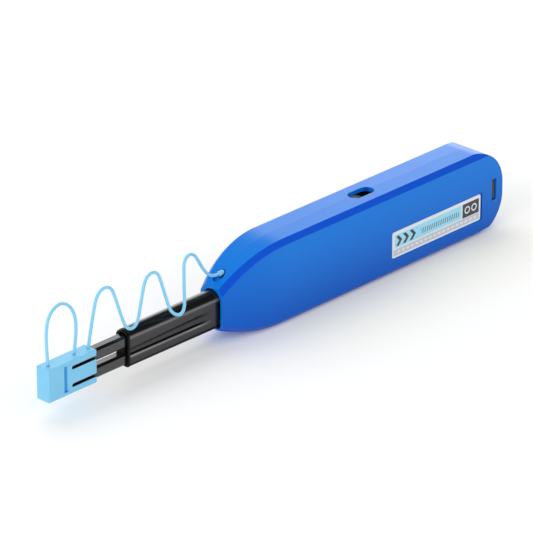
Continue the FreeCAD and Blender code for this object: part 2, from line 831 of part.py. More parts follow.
def nozzle_bars():
    """The fork of two bars, one for each ferrule, with a snout and a bore in each."""
    body = new_body("bars_body")
    root_x = CARRIAGE_FRONT - S["bar_tail"]
    web = new_sketch(body, "YZ_Plane", "bars_web_outline", root_x)
    draw(web, bar_outline(BAR_FOOT, BAR_TOP))
    pad(body, web, FORK - root_x, "bars_web")
    prongs = new_sketch(body, "YZ_Plane", "bars_prong_outline", FORK - 1)
    for axis in (LOWER, UPPER):
        draw(prongs, bar_outline(axis - S["bar_height"] / 2, axis + S["bar_height"] / 2))
    pad(body, prongs, BAR_FRONT - FORK + 1, "bars_prongs")
    notch = new_sketch(body, "XZ_Plane", "bars_notch_outline")
    gap = (S["bar_pitch"] - S["bar_height"]) / 2
    draw_circle(notch, FORK, (UPPER + LOWER) / 2, gap)
    pocket(body, notch, S["bar_width"] * 2, "bars_notch", middle=True)
    snouts = new_sketch(body, "YZ_Plane", "bars_snout_outline", BAR_FRONT - 1)
    bores = new_sketch(body, "YZ_Plane", "bars_bore_outline", root_x - 1)
    for axis in (LOWER, UPPER):
        draw_circle(snouts, 0, axis, S["snout_radius"])
        draw_circle(bores, 0, axis, S["bore_radius"])
    pad(body, snouts, S["snout_length"] + 1, "bars_snouts")
    pocket(body, bores, CAP_FRONT - root_x, "bars_bores", back=True)
    keep(body, "nozzle_bars")


SNOUT_FRONT = BAR_FRONT + S["snout_length"]
COLLAR_FRONT = CARRIAGE_FRONT - S["tip_collar_from_front"]
COLLAR_REAR = COLLAR_FRONT - S["tip_collar_length"]
CHAMBER_REAR = COLLAR_REAR - S["tip_spring_length"]


def cleaning_tip(tag, axis):
    """The rod that carries the tape over its round end, with the collar its spring pushes."""
    shank = rod_along(
        f"tip_{tag}_shank", COLLAR_REAR - S["tip_tail"], SNOUT_FRONT + S["tip_reach"], 0, axis,
        S["tip_radius"],
    )
    collar = rod_along(
        f"tip_{tag}_collar", COLLAR_REAR, COLLAR_FRONT, 0, axis, S["tip_collar"]
    )
    keep(fuse(f"tip_{tag}_body", shank, collar), f"cleaning_tip_{tag}")


def tangent_arc(before, corner, after, share):
    """The arc that rounds a corner, touching its two runs at a share of the shorter one."""
    back, ahead = before - corner, after - corner
    half = (math.pi - back.getAngle(ahead)) / 2
    reach = share * min(back.Length, ahead.Length)
    back.normalize()
    ahead.normalize()
    enter, leave = corner + back * reach, corner + ahead * reach
    radius = reach / math.tan(half)
    middle = corner + (back + ahead).normalize() * (radius / math.cos(half) - radius)
    return enter, middle, leave, radius


COIL_SIDES = 8


def coil(name, start, axis_z, radius, wire, turns, length, gap):
    """A compression spring along X, from a station forwards by a length.

    Its path is made of arcs that touch the middles of the sides of a polygon wound as a helix.
    """
    pitch = (length - 2 * wire - 2 * gap) / turns
    step = 2 * math.pi / COIL_SIDES
    reach = radius / math.cos(step / 2)
    corners = [
        Vector(pitch * (i - 0.5) / COIL_SIDES, reach * math.sin(step * i), reach * math.cos(step * i))
        for i in range(turns * COIL_SIDES + 2)
    ]
    edges = []
    for before, corner, after in zip(corners, corners[1:], corners[2:]):
        enter, middle, leave, _ = tangent_arc(before, corner, after, 0.5)
        edges.append(Part.Arc(enter, middle, leave).toShape())
    first = (corners[0] + corners[1]) / 2
    section = Part.Circle(first, corners[1] - corners[0], wire).toShape()
    item = doc.addObject("Part::Feature", f"{name}_body")
    item.Shape = Part.Wire(edges).makePipeShell([Part.Wire([section])], True, False)
    item.Placement = Placement(Vector(start + wire + gap, 0, axis_z), Rotation())
    keep(item, name)


def tip_springs():
    """The small springs behind the two tips."""
    for tag, axis in (("lower", LOWER), ("upper", UPPER)):
        coil(
            f"tip_spring_{tag}", CHAMBER_REAR.value, axis.value, S["tip_spring_radius"].value,
            S["tip_spring_wire"].value, int(S["tip_spring_turns"].value),
            S["tip_spring_length"].value, S["snug"].value,
        )


# ---------------------------------------------------------------- guide cap


def guide_cap():
    """The cap over the nozzle's bars, with its two slots each side and its grips."""
    body = new_body("cap_body")
    half = CAP_SIDE
    rear = CAP_FRONT - S["cap_length"]
    section = new_sketch(body, "YZ_Plane", "cap_outline", rear)
    draw(section, rectangle(-half, half, CAP_FOOT, CAP_TOP))
    block = pad(body, section, S["cap_length"], "cap_block")
    doc.recompute()
    dress("Fillet", body, block, edges_of(block, lambda e: True), S["cap_round"], "cap_round")
    room = S["bar_gap"]
    pockets = new_sketch(body, "YZ_Plane", "cap_pocket_outline", rear - 1)
    for axis in (LOWER, UPPER):
        low, high = axis - S["bar_height"] / 2 - room, axis + S["bar_height"] / 2 + room
        draw(pockets, rectangle(-BAR_SIDE - room, BAR_SIDE + room, low, high))
    pocket(body, pockets, S["cap_length"] - S["cap_front_wall"] + 1, "cap_pockets", back=True)
    slots = new_sketch(body, "XZ_Plane", "cap_slot_outline")
    r = S["cap_slot_height"] / 2
    end = rear + S["cap_slot_length"] - r
    for axis in (LOWER, UPPER):
        draw(slots, [
            (rear - 1, axis - r), (end, axis - r, r), (end + r, axis, r), (end, axis + r),
            (rear - 1, axis + r),
        ])
    pocket(body, slots, CAP_SIDE * 4, "cap_slots", middle=True)
    grips = new_sketch(body, "XY_Plane", "cap_grip_outline", CAP_FOOT + S["grip_margin"])
    front = CAP_FRONT - S["grip_from_front"]
    floor = front - S["grip_floor"]
    for side in (1, -1):
        skin, deep = half * side, (half - S["grip_depth"]) * side
        out = (half + 1) * side
        draw(grips, [
            (front, deep), (front, out), (floor - S["grip_ramp"], out),
            (floor - S["grip_ramp"], skin), (floor, deep),
        ])
    tall = CAP_TOP - CAP_FOOT - S["grip_margin"] * 2
    pocket(body, grips, tall, "cap_grips", back=True)
    holes = new_sketch(body, "XY_Plane", "cap_cord_outline", CAP_TOP - 1)
    for station in ("loop_front", "loop_rear", "tether_from_front"):
        draw_circle(holes, CAP_FRONT - S[station], 0, S["cord_radius"] + S["cord_gap"])
    pocket(body, holes, as_size(2), "cap_cord_holes", back=True)
    keep(body, "guide_cap")


# ---------------------------------------------------------------- carriage


def carriage_left():
    """The carriage's left plate with its front and rear blocks."""
    plate = box(
        "left_plate", CARRIAGE_REAR, CARRIAGE_FRONT, -CARRIAGE_SIDE, LEFT_PLATE,
        CARRIAGE_FOOT, CARRIAGE_TOP,
    )
    front = box(
        "front_block", BLOCK_REAR, CARRIAGE_FRONT, LEFT_PLATE - S["block_tuck"], RIGHT_PLATE,
        CARRIAGE_FOOT, CARRIAGE_TOP,
    )
    rear = box(
        "rear_block", CARRIAGE_REAR, REAR_BLOCK_FRONT, LEFT_PLATE - S["block_tuck"], RIGHT_PLATE,
        CARRIAGE_FOOT, CARRIAGE_TOP,
    )
    snug = S["snug"]
    socket = box(
        "bars_socket", CARRIAGE_FRONT - S["bar_tail"] - snug, CARRIAGE_FRONT + 1, -BAR_SIDE - snug,
        BAR_SIDE + snug, BAR_FOOT - snug, BAR_TOP + snug,
    )
    tools = [socket]
    for tag, axis in (("lower", LOWER), ("upper", UPPER)):
        tools.append(rod_along(
            f"chamber_{tag}", CHAMBER_REAR, CARRIAGE_FRONT, 0, axis,
            S["tip_collar"] + S["chamber_gap"],
        ))
    tools += tape_ports()
    tools += pin_holes("left", -CARRIAGE_SIDE - 1, LEFT_PLATE + S["pin_gap"])
    tools += screw_holes("left", RIGHT_PLATE - S["screw_reach"] - S["end_gap"], RIGHT_PLATE + 1)
    keep(cut("carriage_left_body", fuse("left_blank", plate, front, rear), *tools),
         "carriage_left")


HIGH_GATE = CARRIAGE_TOP - S["high_gate_drop"]
LOW_GATE = CARRIAGE_FOOT + S["low_gate_rise"]


def tape_ports():
    """The slots in the front block that the tapes run through to the nozzle and back."""
    ports = []
    for side, lane in LANES.items():
        middle = lane + LANE_WIDTH / 2
        half = S["tape_width"] / 2 + S["carriage_gap"]
        for tag, gate in (("high", HIGH_GATE), ("low", LOW_GATE)):
            ports.append(box(
                f"port_{side}_{tag}", BLOCK_REAR - 1, BLOCK_REAR + S["port_depth"],
                middle - half, middle + half,
                gate - S["port_height"] / 2, gate + S["port_height"] / 2,
            ))
    return ports


def pin_holes(tag, y0, y1):
    """Holes for the two reel pins."""
    r = S["pin_radius"] + S["snug"]
    return [
        rod_across(f"{tag}_supply_hole", SUPPLY_X, SUPPLY_Z, y0, y1, r),
        rod_across(f"{tag}_take_up_hole", TAKE_UP_X, AXIS_Z, y0, y1, r),
    ]


SCREW_SPOTS = {
    "front_upper": (CARRIAGE_FRONT - S["front_block"] / 2, CARRIAGE_TOP - S["screw_from_top"]),
    "front_lower": (CARRIAGE_FRONT - S["front_block"] / 2, CARRIAGE_FOOT + S["screw_from_foot"]),
    "rear_upper": (CARRIAGE_REAR + S["rear_block"] / 2, CARRIAGE_TOP - S["screw_from_top"]),
}


def screw_holes(tag, y0, y1):
    """Holes for the screws that close the carriage."""
    r = S["screw_radius"] + S["snug"]
    return [
        rod_across(f"{tag}_screw_{spot}", x, z, y0, y1, r) for spot, (x, z) in SCREW_SPOTS.items()
    ]


def carriage_right():
    """The carriage's right plate, with rails along its edges that run beside the case wall."""
    outer = RIGHT_PLATE + S["plate_thick"]
    plate = box(
        "right_web", CARRIAGE_REAR, CARRIAGE_FRONT, RIGHT_PLATE, outer,
        CARRIAGE_FOOT, CARRIAGE_TOP,
    )
    rails = [
        box(f"rail_{tag}", CARRIAGE_REAR, CARRIAGE_FRONT, outer - 0.5, CARRIAGE_SIDE, z, z + h)
        for tag, z, h in (
            ("upper", CARRIAGE_TOP - S["rail_height"], S["rail_height"]),
            ("lower", CARRIAGE_FOOT, S["rail_height"]),
        )
    ]
    tools = pin_holes("right", RIGHT_PLATE - 1, outer + 1)
    tools.append(rod_across(
        "hub_hole", TAKE_UP_X, AXIS_Z, RIGHT_PLATE - 1, outer + 1, S["hub_radius"] + S["pin_gap"]
    ))
    tools += screw_holes("right", RIGHT_PLATE - 1, outer + 1)
    keep(cut("carriage_right_body", fuse("right_blank", plate, *rails), *tools),
         "carriage_right")


def carriage_screws():
    """The screws that close the carriage."""
    outer = RIGHT_PLATE + S["plate_thick"]
    screws = []
    for spot, (x, z) in SCREW_SPOTS.items():
        shank = rod_across(f"shank_{spot}", x, z, RIGHT_PLATE - S["screw_reach"], outer, S["screw_radius"])
        head = rod_across(
            f"head_{spot}", x, z, outer, outer + S["screw_head_height"], S["screw_head"]
        )
        screws.append(fuse(f"screw_{spot}", shank, head))
    keep(compound("carriage_screws_body", *screws), "carriage_screws")


def reel_pins():
    """The steel pins that the reels turn on."""
    left = -CARRIAGE_SIDE + 0.1
    keep(rod_across("supply_pin_body", SUPPLY_X, SUPPLY_Z, left,
                    RIGHT_PLATE + S["plate_thick"], S["pin_radius"]), "supply_pin")
    keep(rod_across("take_up_pin_body", TAKE_UP_X, AXIS_Z, left, GEAR_OUTER,
                    S["pin_radius"]), "take_up_pin")


# ---------------------------------------------------------------- reels and tape


def reel(name, x, z, flange, hub, tail):
    """A spool for two tapes: a hub with three flanges, running on its pin."""
    body = new_body(f"{name}_body")
    bore = S["pin_radius"] + S["pin_gap"]
    t = S["flange_thick"]
    sketch = draw(new_sketch(body, "XY_Plane", f"{name}_profile"), [
        (bore, LEFT_FLANGE), (flange, LEFT_FLANGE), (flange, LEFT_LANE), (hub, LEFT_LANE),
        (hub, MID_FLANGE), (flange, MID_FLANGE), (flange, MID_FLANGE + t),
        (hub, MID_FLANGE + t), (hub, RIGHT_FLANGE), (flange, RIGHT_FLANGE),
        (flange, REEL_END), (hub, REEL_END), (hub, tail), (bore, tail),
    ])
    turned(body, sketch, f"{name}_turned")
    place(body, x, 0, z)
    keep(body, name)


def tape_ring(name, x, z, lane, inner, outer):
    """A roll of wound tape in one lane of a reel."""
    body = new_body(f"{name}_body")
    low = lane + S["lane_gap"]
    high = lane + LANE_WIDTH - S["lane_gap"]
    sketch = new_sketch(body, "XY_Plane", f"{name}_profile")
    draw(sketch, rectangle(inner + S["snug"], outer, low, high))
    turned(body, sketch, f"{name}_turned")
    return place(body, x, 0, z)


def reels():
    """The supply reel, the take-up reel and the tape on them."""
    reel("supply_reel", SUPPLY_X, SUPPLY_Z, SUPPLY_FLANGE, S["supply_hub"],
         RIGHT_PLATE - S["lane_gap"])
    reel("take_up_reel", TAKE_UP_X, AXIS_Z, S["take_up_flange"], S["take_up_hub"],
         REEL_END + S["ratchet_thick"])
    for side, lane in LANES.items():
        name = f"supply_tape_{side}"
        keep(tape_ring(name, SUPPLY_X, SUPPLY_Z, lane, S["supply_hub"], SUPPLY_TAPE), name)
        name = f"used_tape_{side}"
        keep(tape_ring(name, TAKE_UP_X, AXIS_Z, lane, S["take_up_hub"], S["take_up_tape"]), name)


def roll_tangent(centre, radius, point, way):
    """Where a strand from a point meets a roll; way 1 is over the roll, way -1 under it."""
    dx, dz = centre[0] - point[0], centre[1] - point[1]
    turn = math.acos(radius / math.hypot(dx, dz))
    angle = math.atan2(-dz, -dx) + way * turn
    return centre[0] + radius * math.cos(angle), centre[1] + radius * math.sin(angle)


def crossed_tangent(first, first_radius, second, second_radius):
    """The strand that leaves the first round on its far side and meets the second's near side."""
    dx, dz = second[0] - first[0], second[1] - first[1]
    lean = math.asin((first_radius + second_radius) / math.hypot(dx, dz))
    heading = math.atan2(dz, dx) - lean
    nx, nz = -math.sin(heading), math.cos(heading)
    leave = (first[0] + nx * first_radius, first[1] + nz * first_radius)
    meet = (second[0] - nx * second_radius, second[1] - nz * second_radius)
    return leave, meet


def ribbon(edges, middle):
    """A tape of flat section along lines and arcs of the XZ plane, in the middle of a lane."""
    half, thin = S["tape_width"].value / 2, S["tape_thick"].value / 2
    path = Part.Wire([edge.toShape() for edge in edges])
    start = edges[0].StartPoint
    along = (edges[0].EndPoint - start).normalize()
    across = Vector(-along.z, 0, along.x) * thin
    side = Vector(0, half, 0)
    corners = [start + side + across, start - side + across, start - side - across,
               start + side - across]
    section = Part.makePolygon(corners + corners[:1])
    shape = path.makePipeShell([section], True, False)
    shape.translate(Vector(0, middle, 0))
    return shape


def tapes():
    """The strands that run from the supply reel to the nozzle, and back to the take-up reel."""
    lift = S["tape_lift"].value + S["tape_thick"].value / 2
    gate = BLOCK_REAR.value + S["port_depth"].value - 1
    supply = (SUPPLY_X.value, SUPPLY_Z.value)
    take_up = (TAKE_UP_X.value, AXIS_Z.value)
    pin = (GUIDE_PIN_X.value, GUIDE_PIN_Z.value)
    pin_radius = S["pin_radius"].value + lift
    high_gate, low_gate = (gate, HIGH_GATE.value), (gate, LOW_GATE.value)
    top = roll_tangent(supply, SUPPLY_TAPE.value + lift, high_gate, 1)
    enter = roll_tangent(pin, pin_radius, low_gate, -1)
    leave, home = crossed_tangent(pin, pin_radius, take_up, S["take_up_tape"].value + lift)
    outward = Vector(enter[0] + leave[0] - 2 * pin[0], 0, enter[1] + leave[1] - 2 * pin[1])
    round_pin = Vector(pin[0], 0, pin[1]) + outward.normalize() * pin_radius

    def spot(point):
        return Vector(point[0], 0, point[1])

    feed, back = [], []
    for lane in LANES.values():
        middle = lane.value + LANE_WIDTH.value / 2
        feed.append(ribbon([Part.LineSegment(spot(top), spot(high_gate))], middle))
        back.append(ribbon([
            Part.LineSegment(spot(low_gate), spot(enter)),
            Part.Arc(spot(enter), round_pin, spot(leave)),
            Part.LineSegment(spot(leave), spot(home)),
        ], middle))
    for name, shapes in (("feed_tapes", feed), ("return_tapes", back)):
        item = doc.addObject("Part::Feature", f"{name}_body")
        item.Shape = Part.makeCompound(shapes)
        keep(item, name)


GUIDE_PIN_X = SUPPLY_X - SUPPLY_FLANGE - S["guide_pin_gap"]
GUIDE_PIN_Z = CARRIAGE_FOOT + S["guide_pin_rise"]


def guide_pin():
    """The pin that leads the used tape up to the take-up reel."""
    keep(rod_across("guide_pin_body", GUIDE_PIN_X, GUIDE_PIN_Z, LEFT_PLATE, RIGHT_PLATE,
                    S["pin_radius"]), "guide_pin")


# ---------------------------------------------------------------- drive


def drive_rack():
    """The rack on the case's wall that turns the pinion as the carriage slides."""
    m = S["gear_module"]
    body = new_body("rack_body")
    length = RACK_STEP * S["rack_teeth"]
    start = TAKE_UP_X - S["push_stroke"] / 2 - length / 2
    low = RACK_PITCH_Z - m * 1.25 - S["rack_body"]
    base = new_sketch(body, "XZ_Plane", "rack_bar_outline", -INSIDE)
    draw(base, rectangle(start, start + length, low, RACK_PITCH_Z - m * 1.25))
    pad(body, base, GEAR_OUTER - GEAR_INNER, "rack_bar")
    first = TAKE_UP_X - rack_phase() * RACK_STEP
    slant = math.tan(math.radians(20))
    half = (RACK_STEP / 2 - S["backlash"]) / 2
    wide, slim = half + m * (1.25 * slant), half - m * slant
    tooth = new_sketch(body, "XZ_Plane", "rack_tooth_outline", -INSIDE)
    draw(tooth, [
        (first - wide, RACK_PITCH_Z - m * 1.25 - 0.3), (first + wide, RACK_PITCH_Z - m * 1.25 - 0.3),
        (first + wide, RACK_PITCH_Z - m * 1.25), (first + slim, RACK_PITCH_Z + m),
        (first - slim, RACK_PITCH_Z + m), (first - wide, RACK_PITCH_Z - m * 1.25),
    ])
    one = pad(body, tooth, GEAR_OUTER - GEAR_INNER, "rack_tooth")
    row = body.newObject("PartDesign::LinearPattern", "rack_row")
    row.Originals = [one]
    row.Direction = (tooth, ["H_Axis"])
    count = S["rack_teeth"] - 1
    bind(row, "Length", RACK_STEP * (count - 1))
    bind(row, "Occurrences", count)
    body.Tip = row
    keep(body, "drive_rack")


def rack_phase():
    """How many steps the rack's first tooth lies behind the pinion's axis."""
    return int(S["rack_teeth"].value / 2) + 1.5


def pinion_flank(turn, side):
    """Points along one involute flank of the pinion's tooth, from its root to its tip."""
    m = S["gear_module"].value
    pitch = PITCH_RADIUS.value
    base = pitch * math.cos(math.radians(20))
    half = (math.pi * m / 2 - S["backlash"].value) / 2 / pitch
    inv20 = math.tan(math.radians(20)) - math.radians(20)
    points = []
    for radius in (pitch - 1.2 * m, base, pitch, pitch + 0.55 * m, pitch + m):
        flank = math.acos(min(1, base / max(radius, base)))
        angle = half + inv20 - (math.tan(flank) - flank)
        points.append((radius, turn + side * angle))
    return points


def drive_pinion():
    """The pinion that rolls on the rack, with the hub that turns the take-up reel."""
    teeth = int(S["pinion_teeth"].value)
    outline = []
    for i in range(teeth):
        turn = -math.pi / 2 + 2 * math.pi * i / teeth
        outline += pinion_flank(turn, -1)
        outline += reversed(pinion_flank(turn, 1))
    corners = [Vector(r * math.cos(a), r * math.sin(a), 0) for r, a in outline]
    disc = Part.Face(Part.makePolygon(corners + corners[:1]))
    gear = disc.extrude(Vector(0, 0, -S["gear_thick"].value))
    hub_reach = S["plate_thick"].value + S["end_gap"].value
    hub = Part.makeCylinder(S["hub_radius"].value, hub_reach)
    across = S["case_width"].value
    bore = Part.makeCylinder(
        S["pin_radius"].value + S["pin_gap"].value, across * 2, Vector(0, 0, -across)
    )
    item = doc.addObject("Part::Feature", "pinion_body")
    item.Shape = gear.fuse(hub).cut(bore).removeSplitter()
    place(item, TAKE_UP_X, GEAR_INNER, AXIS_Z, Rotation(Vector(1, 0, 0), 90))
    keep(item, "drive_pinion")


def ratchet_wheel():
    """The saw-toothed wheel on the take-up reel, which lets it turn one way only."""
    teeth = int(S["ratchet_teeth"].value)
    tip, foot = S["ratchet_radius"].value, S["ratchet_radius"].value - S["ratchet_depth"].value
    corners = []
    for i in range(teeth):
        turn = 2 * math.pi * i / teeth
        corners.append(Vector(tip * math.cos(turn), tip * math.sin(turn), 0))
        corners.append(Vector(foot * math.cos(turn), foot * math.sin(turn), 0))
    disc = Part.Face(Part.makePolygon(corners + corners[:1]))
    wheel = disc.extrude(Vector(0, 0, -S["ratchet_thick"].value))
    across = S["case_width"].value
    bore = Part.makeCylinder(
        S["take_up_hub"].value + S["snug"].value, across * 2, Vector(0, 0, -across)
    )
    item = doc.addObject("Part::Feature", "ratchet_body")
    item.Shape = wheel.cut(bore)
    place(item, TAKE_UP_X, REEL_END, AXIS_Z, Rotation(Vector(1, 0, 0), 90))
    keep(item, "ratchet_wheel")


def leaf(name, start, end, thick, y0, y1):
    """A straight leaf spring between two points of the XZ plane."""
    body = new_body(f"{name}_body")
    sketch = draw(new_sketch(body, "XZ_Plane", f"{name}_outline", -as_size(y1)), [
        (start[0], start[1]), (start[0], start[1] - thick), (end[0], end[1] - thick),
        (end[0], end[1]),
    ])
    pad(body, sketch, as_size(y1) - y0, f"{name}_strip")
    keep(body, name)


def leaf_springs():
    """The pawl that holds the ratchet wheel, and the brake that keeps the supply reel still."""
    lean = math.radians(35)
    reach = S["ratchet_radius"] + S["pawl_gap"]
    tip = (TAKE_UP_X - reach * math.cos(lean), AXIS_Z + reach * math.sin(lean) + S["pawl_thick"])
    leaf("ratchet_pawl", tip, (REAR_BLOCK_FRONT, tip[1] + S["pawl_rise"]), S["pawl_thick"],
         REEL_END + S["pawl_gap"], REEL_END + S["ratchet_thick"])
    rim = SUPPLY_FLANGE + S["leaf_gap"]
    tip = (SUPPLY_X + rim * math.cos(lean), SUPPLY_Z - rim * math.sin(lean))
    leaf("brake_leaf", tip, (BLOCK_REAR, tip[1] - S["leaf_drop"]), S["leaf_thick"], LEFT_FLANGE, REEL_END)


# ---------------------------------------------------------------- return spring


def spring_guide():
    """The rod that keeps the return spring straight, with the seat it pushes on."""
    seat = rod_along(
        "guide_seat", CARRIAGE_REAR - S["seat_thick"], CARRIAGE_REAR, 0, AXIS_Z, S["seat_radius"]
    )
    rod = rod_along(
        "guide_rod", CARRIAGE_REAR - S["rod_length"], CARRIAGE_REAR, 0, AXIS_Z, S["rod_radius"]
    )
    keep(fuse("spring_guide_body", seat, rod), "spring_guide")


def return_spring():
    """The spring that brings the carriage forward after each push."""
    seat = CARRIAGE_REAR.value - S["seat_thick"].value
    coil(
        "return_spring", STOP_FRONT.value, AXIS_Z.value, S["spring_radius"].value,
        S["spring_wire"].value, int(S["spring_turns"].value), seat - STOP_FRONT.value, 0.05,
    )


# ---------------------------------------------------------------- tether and pull loop

# The pull loop, as distances behind the cap's front and heights above the floor.
PULL_LOOP_ROUTE = [
    (2.1, 22.8), (1.9, 28.6), (2.6, 33.6), (5.1, 36.8), (9.0, 37.8), (12.6, 35.5),
    (14.8, 31.6), (15.4, 27.0), (14.8, 22.0),
]
# The tether, as distances ahead of the mouth, out to the labelled side and above the floor.
TETHER_ROUTE = [
    (56.5, 0.1, 20.4), (55.8, 0.3, 24.8), (54.9, 0.6, 30.2), (53.8, 1.1, 35.7),
    (51.1, 1.6, 37.8), (48.2, 2.1, 36.8), (46.9, 2.6, 32.7), (45.2, 3.1, 26.7),
    (43.3, 3.5, 21.3), (40.7, 3.6, 19.9), (37.9, 3.4, 21.1), (36.3, 3.1, 25.9),
    (34.8, 2.8, 30.9), (33.2, 2.6, 35.1), (30.2, 2.5, 36.4), (27.6, 2.7, 35.3),
    (26.3, 3.1, 31.0), (25.1, 3.7, 26.1), (24.0, 4.3, 21.5), (21.9, 4.6, 19.0),
    (19.3, 4.6, 18.0), (17.3, 4.4, 19.2), (16.7, 4.0, 22.5), (16.2, 3.3, 27.2),
    (15.6, 2.7, 31.8), (15.1, 2.2, 34.8), (12.6, 1.8, 36.5), (9.5, 1.4, 35.5),
    (7.0, 1.0, 32.0), (4.4, 0.6, 28.0), (1.6, 0.3, 25.0), (-1.5, 0.1, 23.5),
]


def cord_path(points):
    """Straight runs joined by tangent arcs, each arc as large as its two runs allow."""
    edges, radii = [], []
    last = points[0]
    for before, corner, after in zip(points, points[1:], points[2:]):
        enter, middle, leave, radius = tangent_arc(before, corner, after, 0.45)
        edges.append(Part.LineSegment(last, enter).toShape())
        edges.append(Part.Arc(enter, middle, leave).toShape())
        radii.append(radius)
        last = leave
    edges.append(Part.LineSegment(last, points[-1]).toShape())
    return Part.Wire(edges), radii


def cord(name, points):
    """A cord of round section along a route."""
    path, radii = cord_path(points)
    r = S["cord_radius"].value
    section = Part.Circle(points[0], points[1] - points[0], r).toShape()
    shape = path.makePipeShell([Part.Wire([section])], True, False)
    ideal = math.pi * r * r * path.Length
    print(f"{name}: length {path.Length:.1f}, volume {shape.Volume / ideal:.4f} of ideal, "
          f"radii {[round(x, 1) for x in radii]}")
    item = doc.addObject("Part::Feature", f"{name}_body")
    item.Shape = shape
    keep(item, name)


def knot_spot():
    """The middle of the knot, over the eyelet's hole."""
    x, z, slope = slope_point(S["eyelet_from_mouth"])
    lean = math.radians(slope)
    along = S["eyelet_width"] / 2 - S["eyelet_length"] / 2
    return x + along * math.cos(lean), z - along * math.sin(lean)


def cord_knot():
    """The knot at the tether's end, in the eyelet."""
    x, z = knot_spot()
    ball = doc.addObject("Part::Sphere", "knot_body")
    bind(ball, "Radius", S["knot_radius"])
    place(ball, x, 0, z)
    keep(ball, "cord_knot")


def cap_hole(station):
    """Where a cord ends inside one of the cap's holes."""
    x = CAP_FRONT - S[station]
    return Vector(x.value, 0, CAP_TOP.value - S["cord_tuck"].value)


def cords():
    """The pull loop on the cap, and the tether from the cap to the knot on the case."""
    loop = [cap_hole("loop_front")]
    loop += [Vector(CAP_FRONT.value - x, 0, z) for x, z in PULL_LOOP_ROUTE]
    loop.append(cap_hole("loop_rear"))
    cord("pull_loop", loop)
    tether = [cap_hole("tether_from_front")]
    tether += [Vector(MOUTH.value + x, y, z) for x, y, z in TETHER_ROUTE]
    x, z = knot_spot()
    knot = Vector(x.value, 0, z.value)
    inward = (tether[-1] - knot).normalize()
    tether.append(knot + inward * (S["knot_radius"].value + 0.01))
    cord("tether_cord", tether)


def check():
    """Stops if anything failed to build."""
    doc.recompute()
    for item in doc.Objects:
        if {"Invalid", "Error"} & set(item.State):
            raise RuntimeError(f"{item.Name} ({item.Label}): {item.State}")
        if item.isDerivedFrom("PartDesign::Pocket"):
            if item.Shape.Volume > item.BaseFeature.Shape.Volume - 1e-3:
                raise RuntimeError(f"{item.Name} cuts nothing")
    for name, item in nodes.items():
        if item.Shape.isNull() or not item.Shape.isValid() or not item.Shape.Solids:
            raise RuntimeError(f"{name} isn't a valid solid")


def main():
    case_halves()
    label()
    rear_stop()
    nozzle_sleeve()
    nozzle_bars()
    cleaning_tip("lower", LOWER)
    cleaning_tip("upper", UPPER)
    tip_springs()
    guide_cap()
    carriage_left()
    carriage_right()
    carriage_screws()
    reel_pins()
    reels()
    tapes()
    guide_pin()
    drive_rack()
    drive_pinion()
    ratchet_wheel()
    leaf_springs()
    spring_guide()
    return_spring()
    cord_knot()
    cords()
    check()
    os.makedirs("parts", exist_ok=True)
    for name, item in nodes.items():
        item.Shape.exportStep(f"parts/{name}.step")
        count = len(item.Shape.Solids)
        print(f"{name}: {count} solid{'s' if count > 1 else ''}, {item.Shape.Volume:.1f} mm3")


main()
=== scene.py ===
"""Looks of a fibre connector cleaning pen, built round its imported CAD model.

The file is laid out as an add-on: each operator makes one piece or one group of like pieces,
and main runs them in order. Lengths are metres, in the frame of the CAD model: +X towards the
nozzle, +Y towards the labelled side, +Z up.
"""
import json
import math

import bpy
import numpy as np
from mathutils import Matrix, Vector

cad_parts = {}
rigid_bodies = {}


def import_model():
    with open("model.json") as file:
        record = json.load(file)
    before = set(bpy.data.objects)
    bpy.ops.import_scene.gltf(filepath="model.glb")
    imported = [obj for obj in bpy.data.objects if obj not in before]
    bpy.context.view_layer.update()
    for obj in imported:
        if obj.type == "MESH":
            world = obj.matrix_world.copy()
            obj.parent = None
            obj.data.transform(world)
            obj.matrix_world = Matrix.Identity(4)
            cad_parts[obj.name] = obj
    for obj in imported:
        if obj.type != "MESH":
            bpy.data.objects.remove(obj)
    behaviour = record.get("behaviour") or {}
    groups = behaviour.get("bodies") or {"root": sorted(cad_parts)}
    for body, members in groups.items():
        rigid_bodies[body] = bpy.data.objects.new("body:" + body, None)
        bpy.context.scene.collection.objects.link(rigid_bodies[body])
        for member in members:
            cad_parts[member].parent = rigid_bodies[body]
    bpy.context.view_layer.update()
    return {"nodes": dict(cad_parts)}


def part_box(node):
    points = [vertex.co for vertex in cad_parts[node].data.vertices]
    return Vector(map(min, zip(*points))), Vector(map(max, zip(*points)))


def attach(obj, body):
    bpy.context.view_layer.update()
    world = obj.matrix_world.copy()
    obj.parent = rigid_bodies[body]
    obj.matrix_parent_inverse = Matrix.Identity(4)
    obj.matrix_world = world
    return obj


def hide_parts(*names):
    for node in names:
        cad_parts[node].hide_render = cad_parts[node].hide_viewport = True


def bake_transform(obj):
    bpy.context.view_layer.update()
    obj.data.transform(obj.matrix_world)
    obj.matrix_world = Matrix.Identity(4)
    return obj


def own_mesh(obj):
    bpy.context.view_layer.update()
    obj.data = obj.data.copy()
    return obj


bl_info = {
    "name": "Cleaning Pen",
    "version": (1, 0, 0),
    "blender": (4, 5, 0),
    "location": "3D View > Sidebar > Pen",
    "description": "Finishes, cords and stage of a fibre connector cleaning pen",
    "category": "Object",
}

for leftover in list(bpy.data.objects):
    bpy.data.objects.remove(leftover)
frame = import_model()
NODES = frame["nodes"]

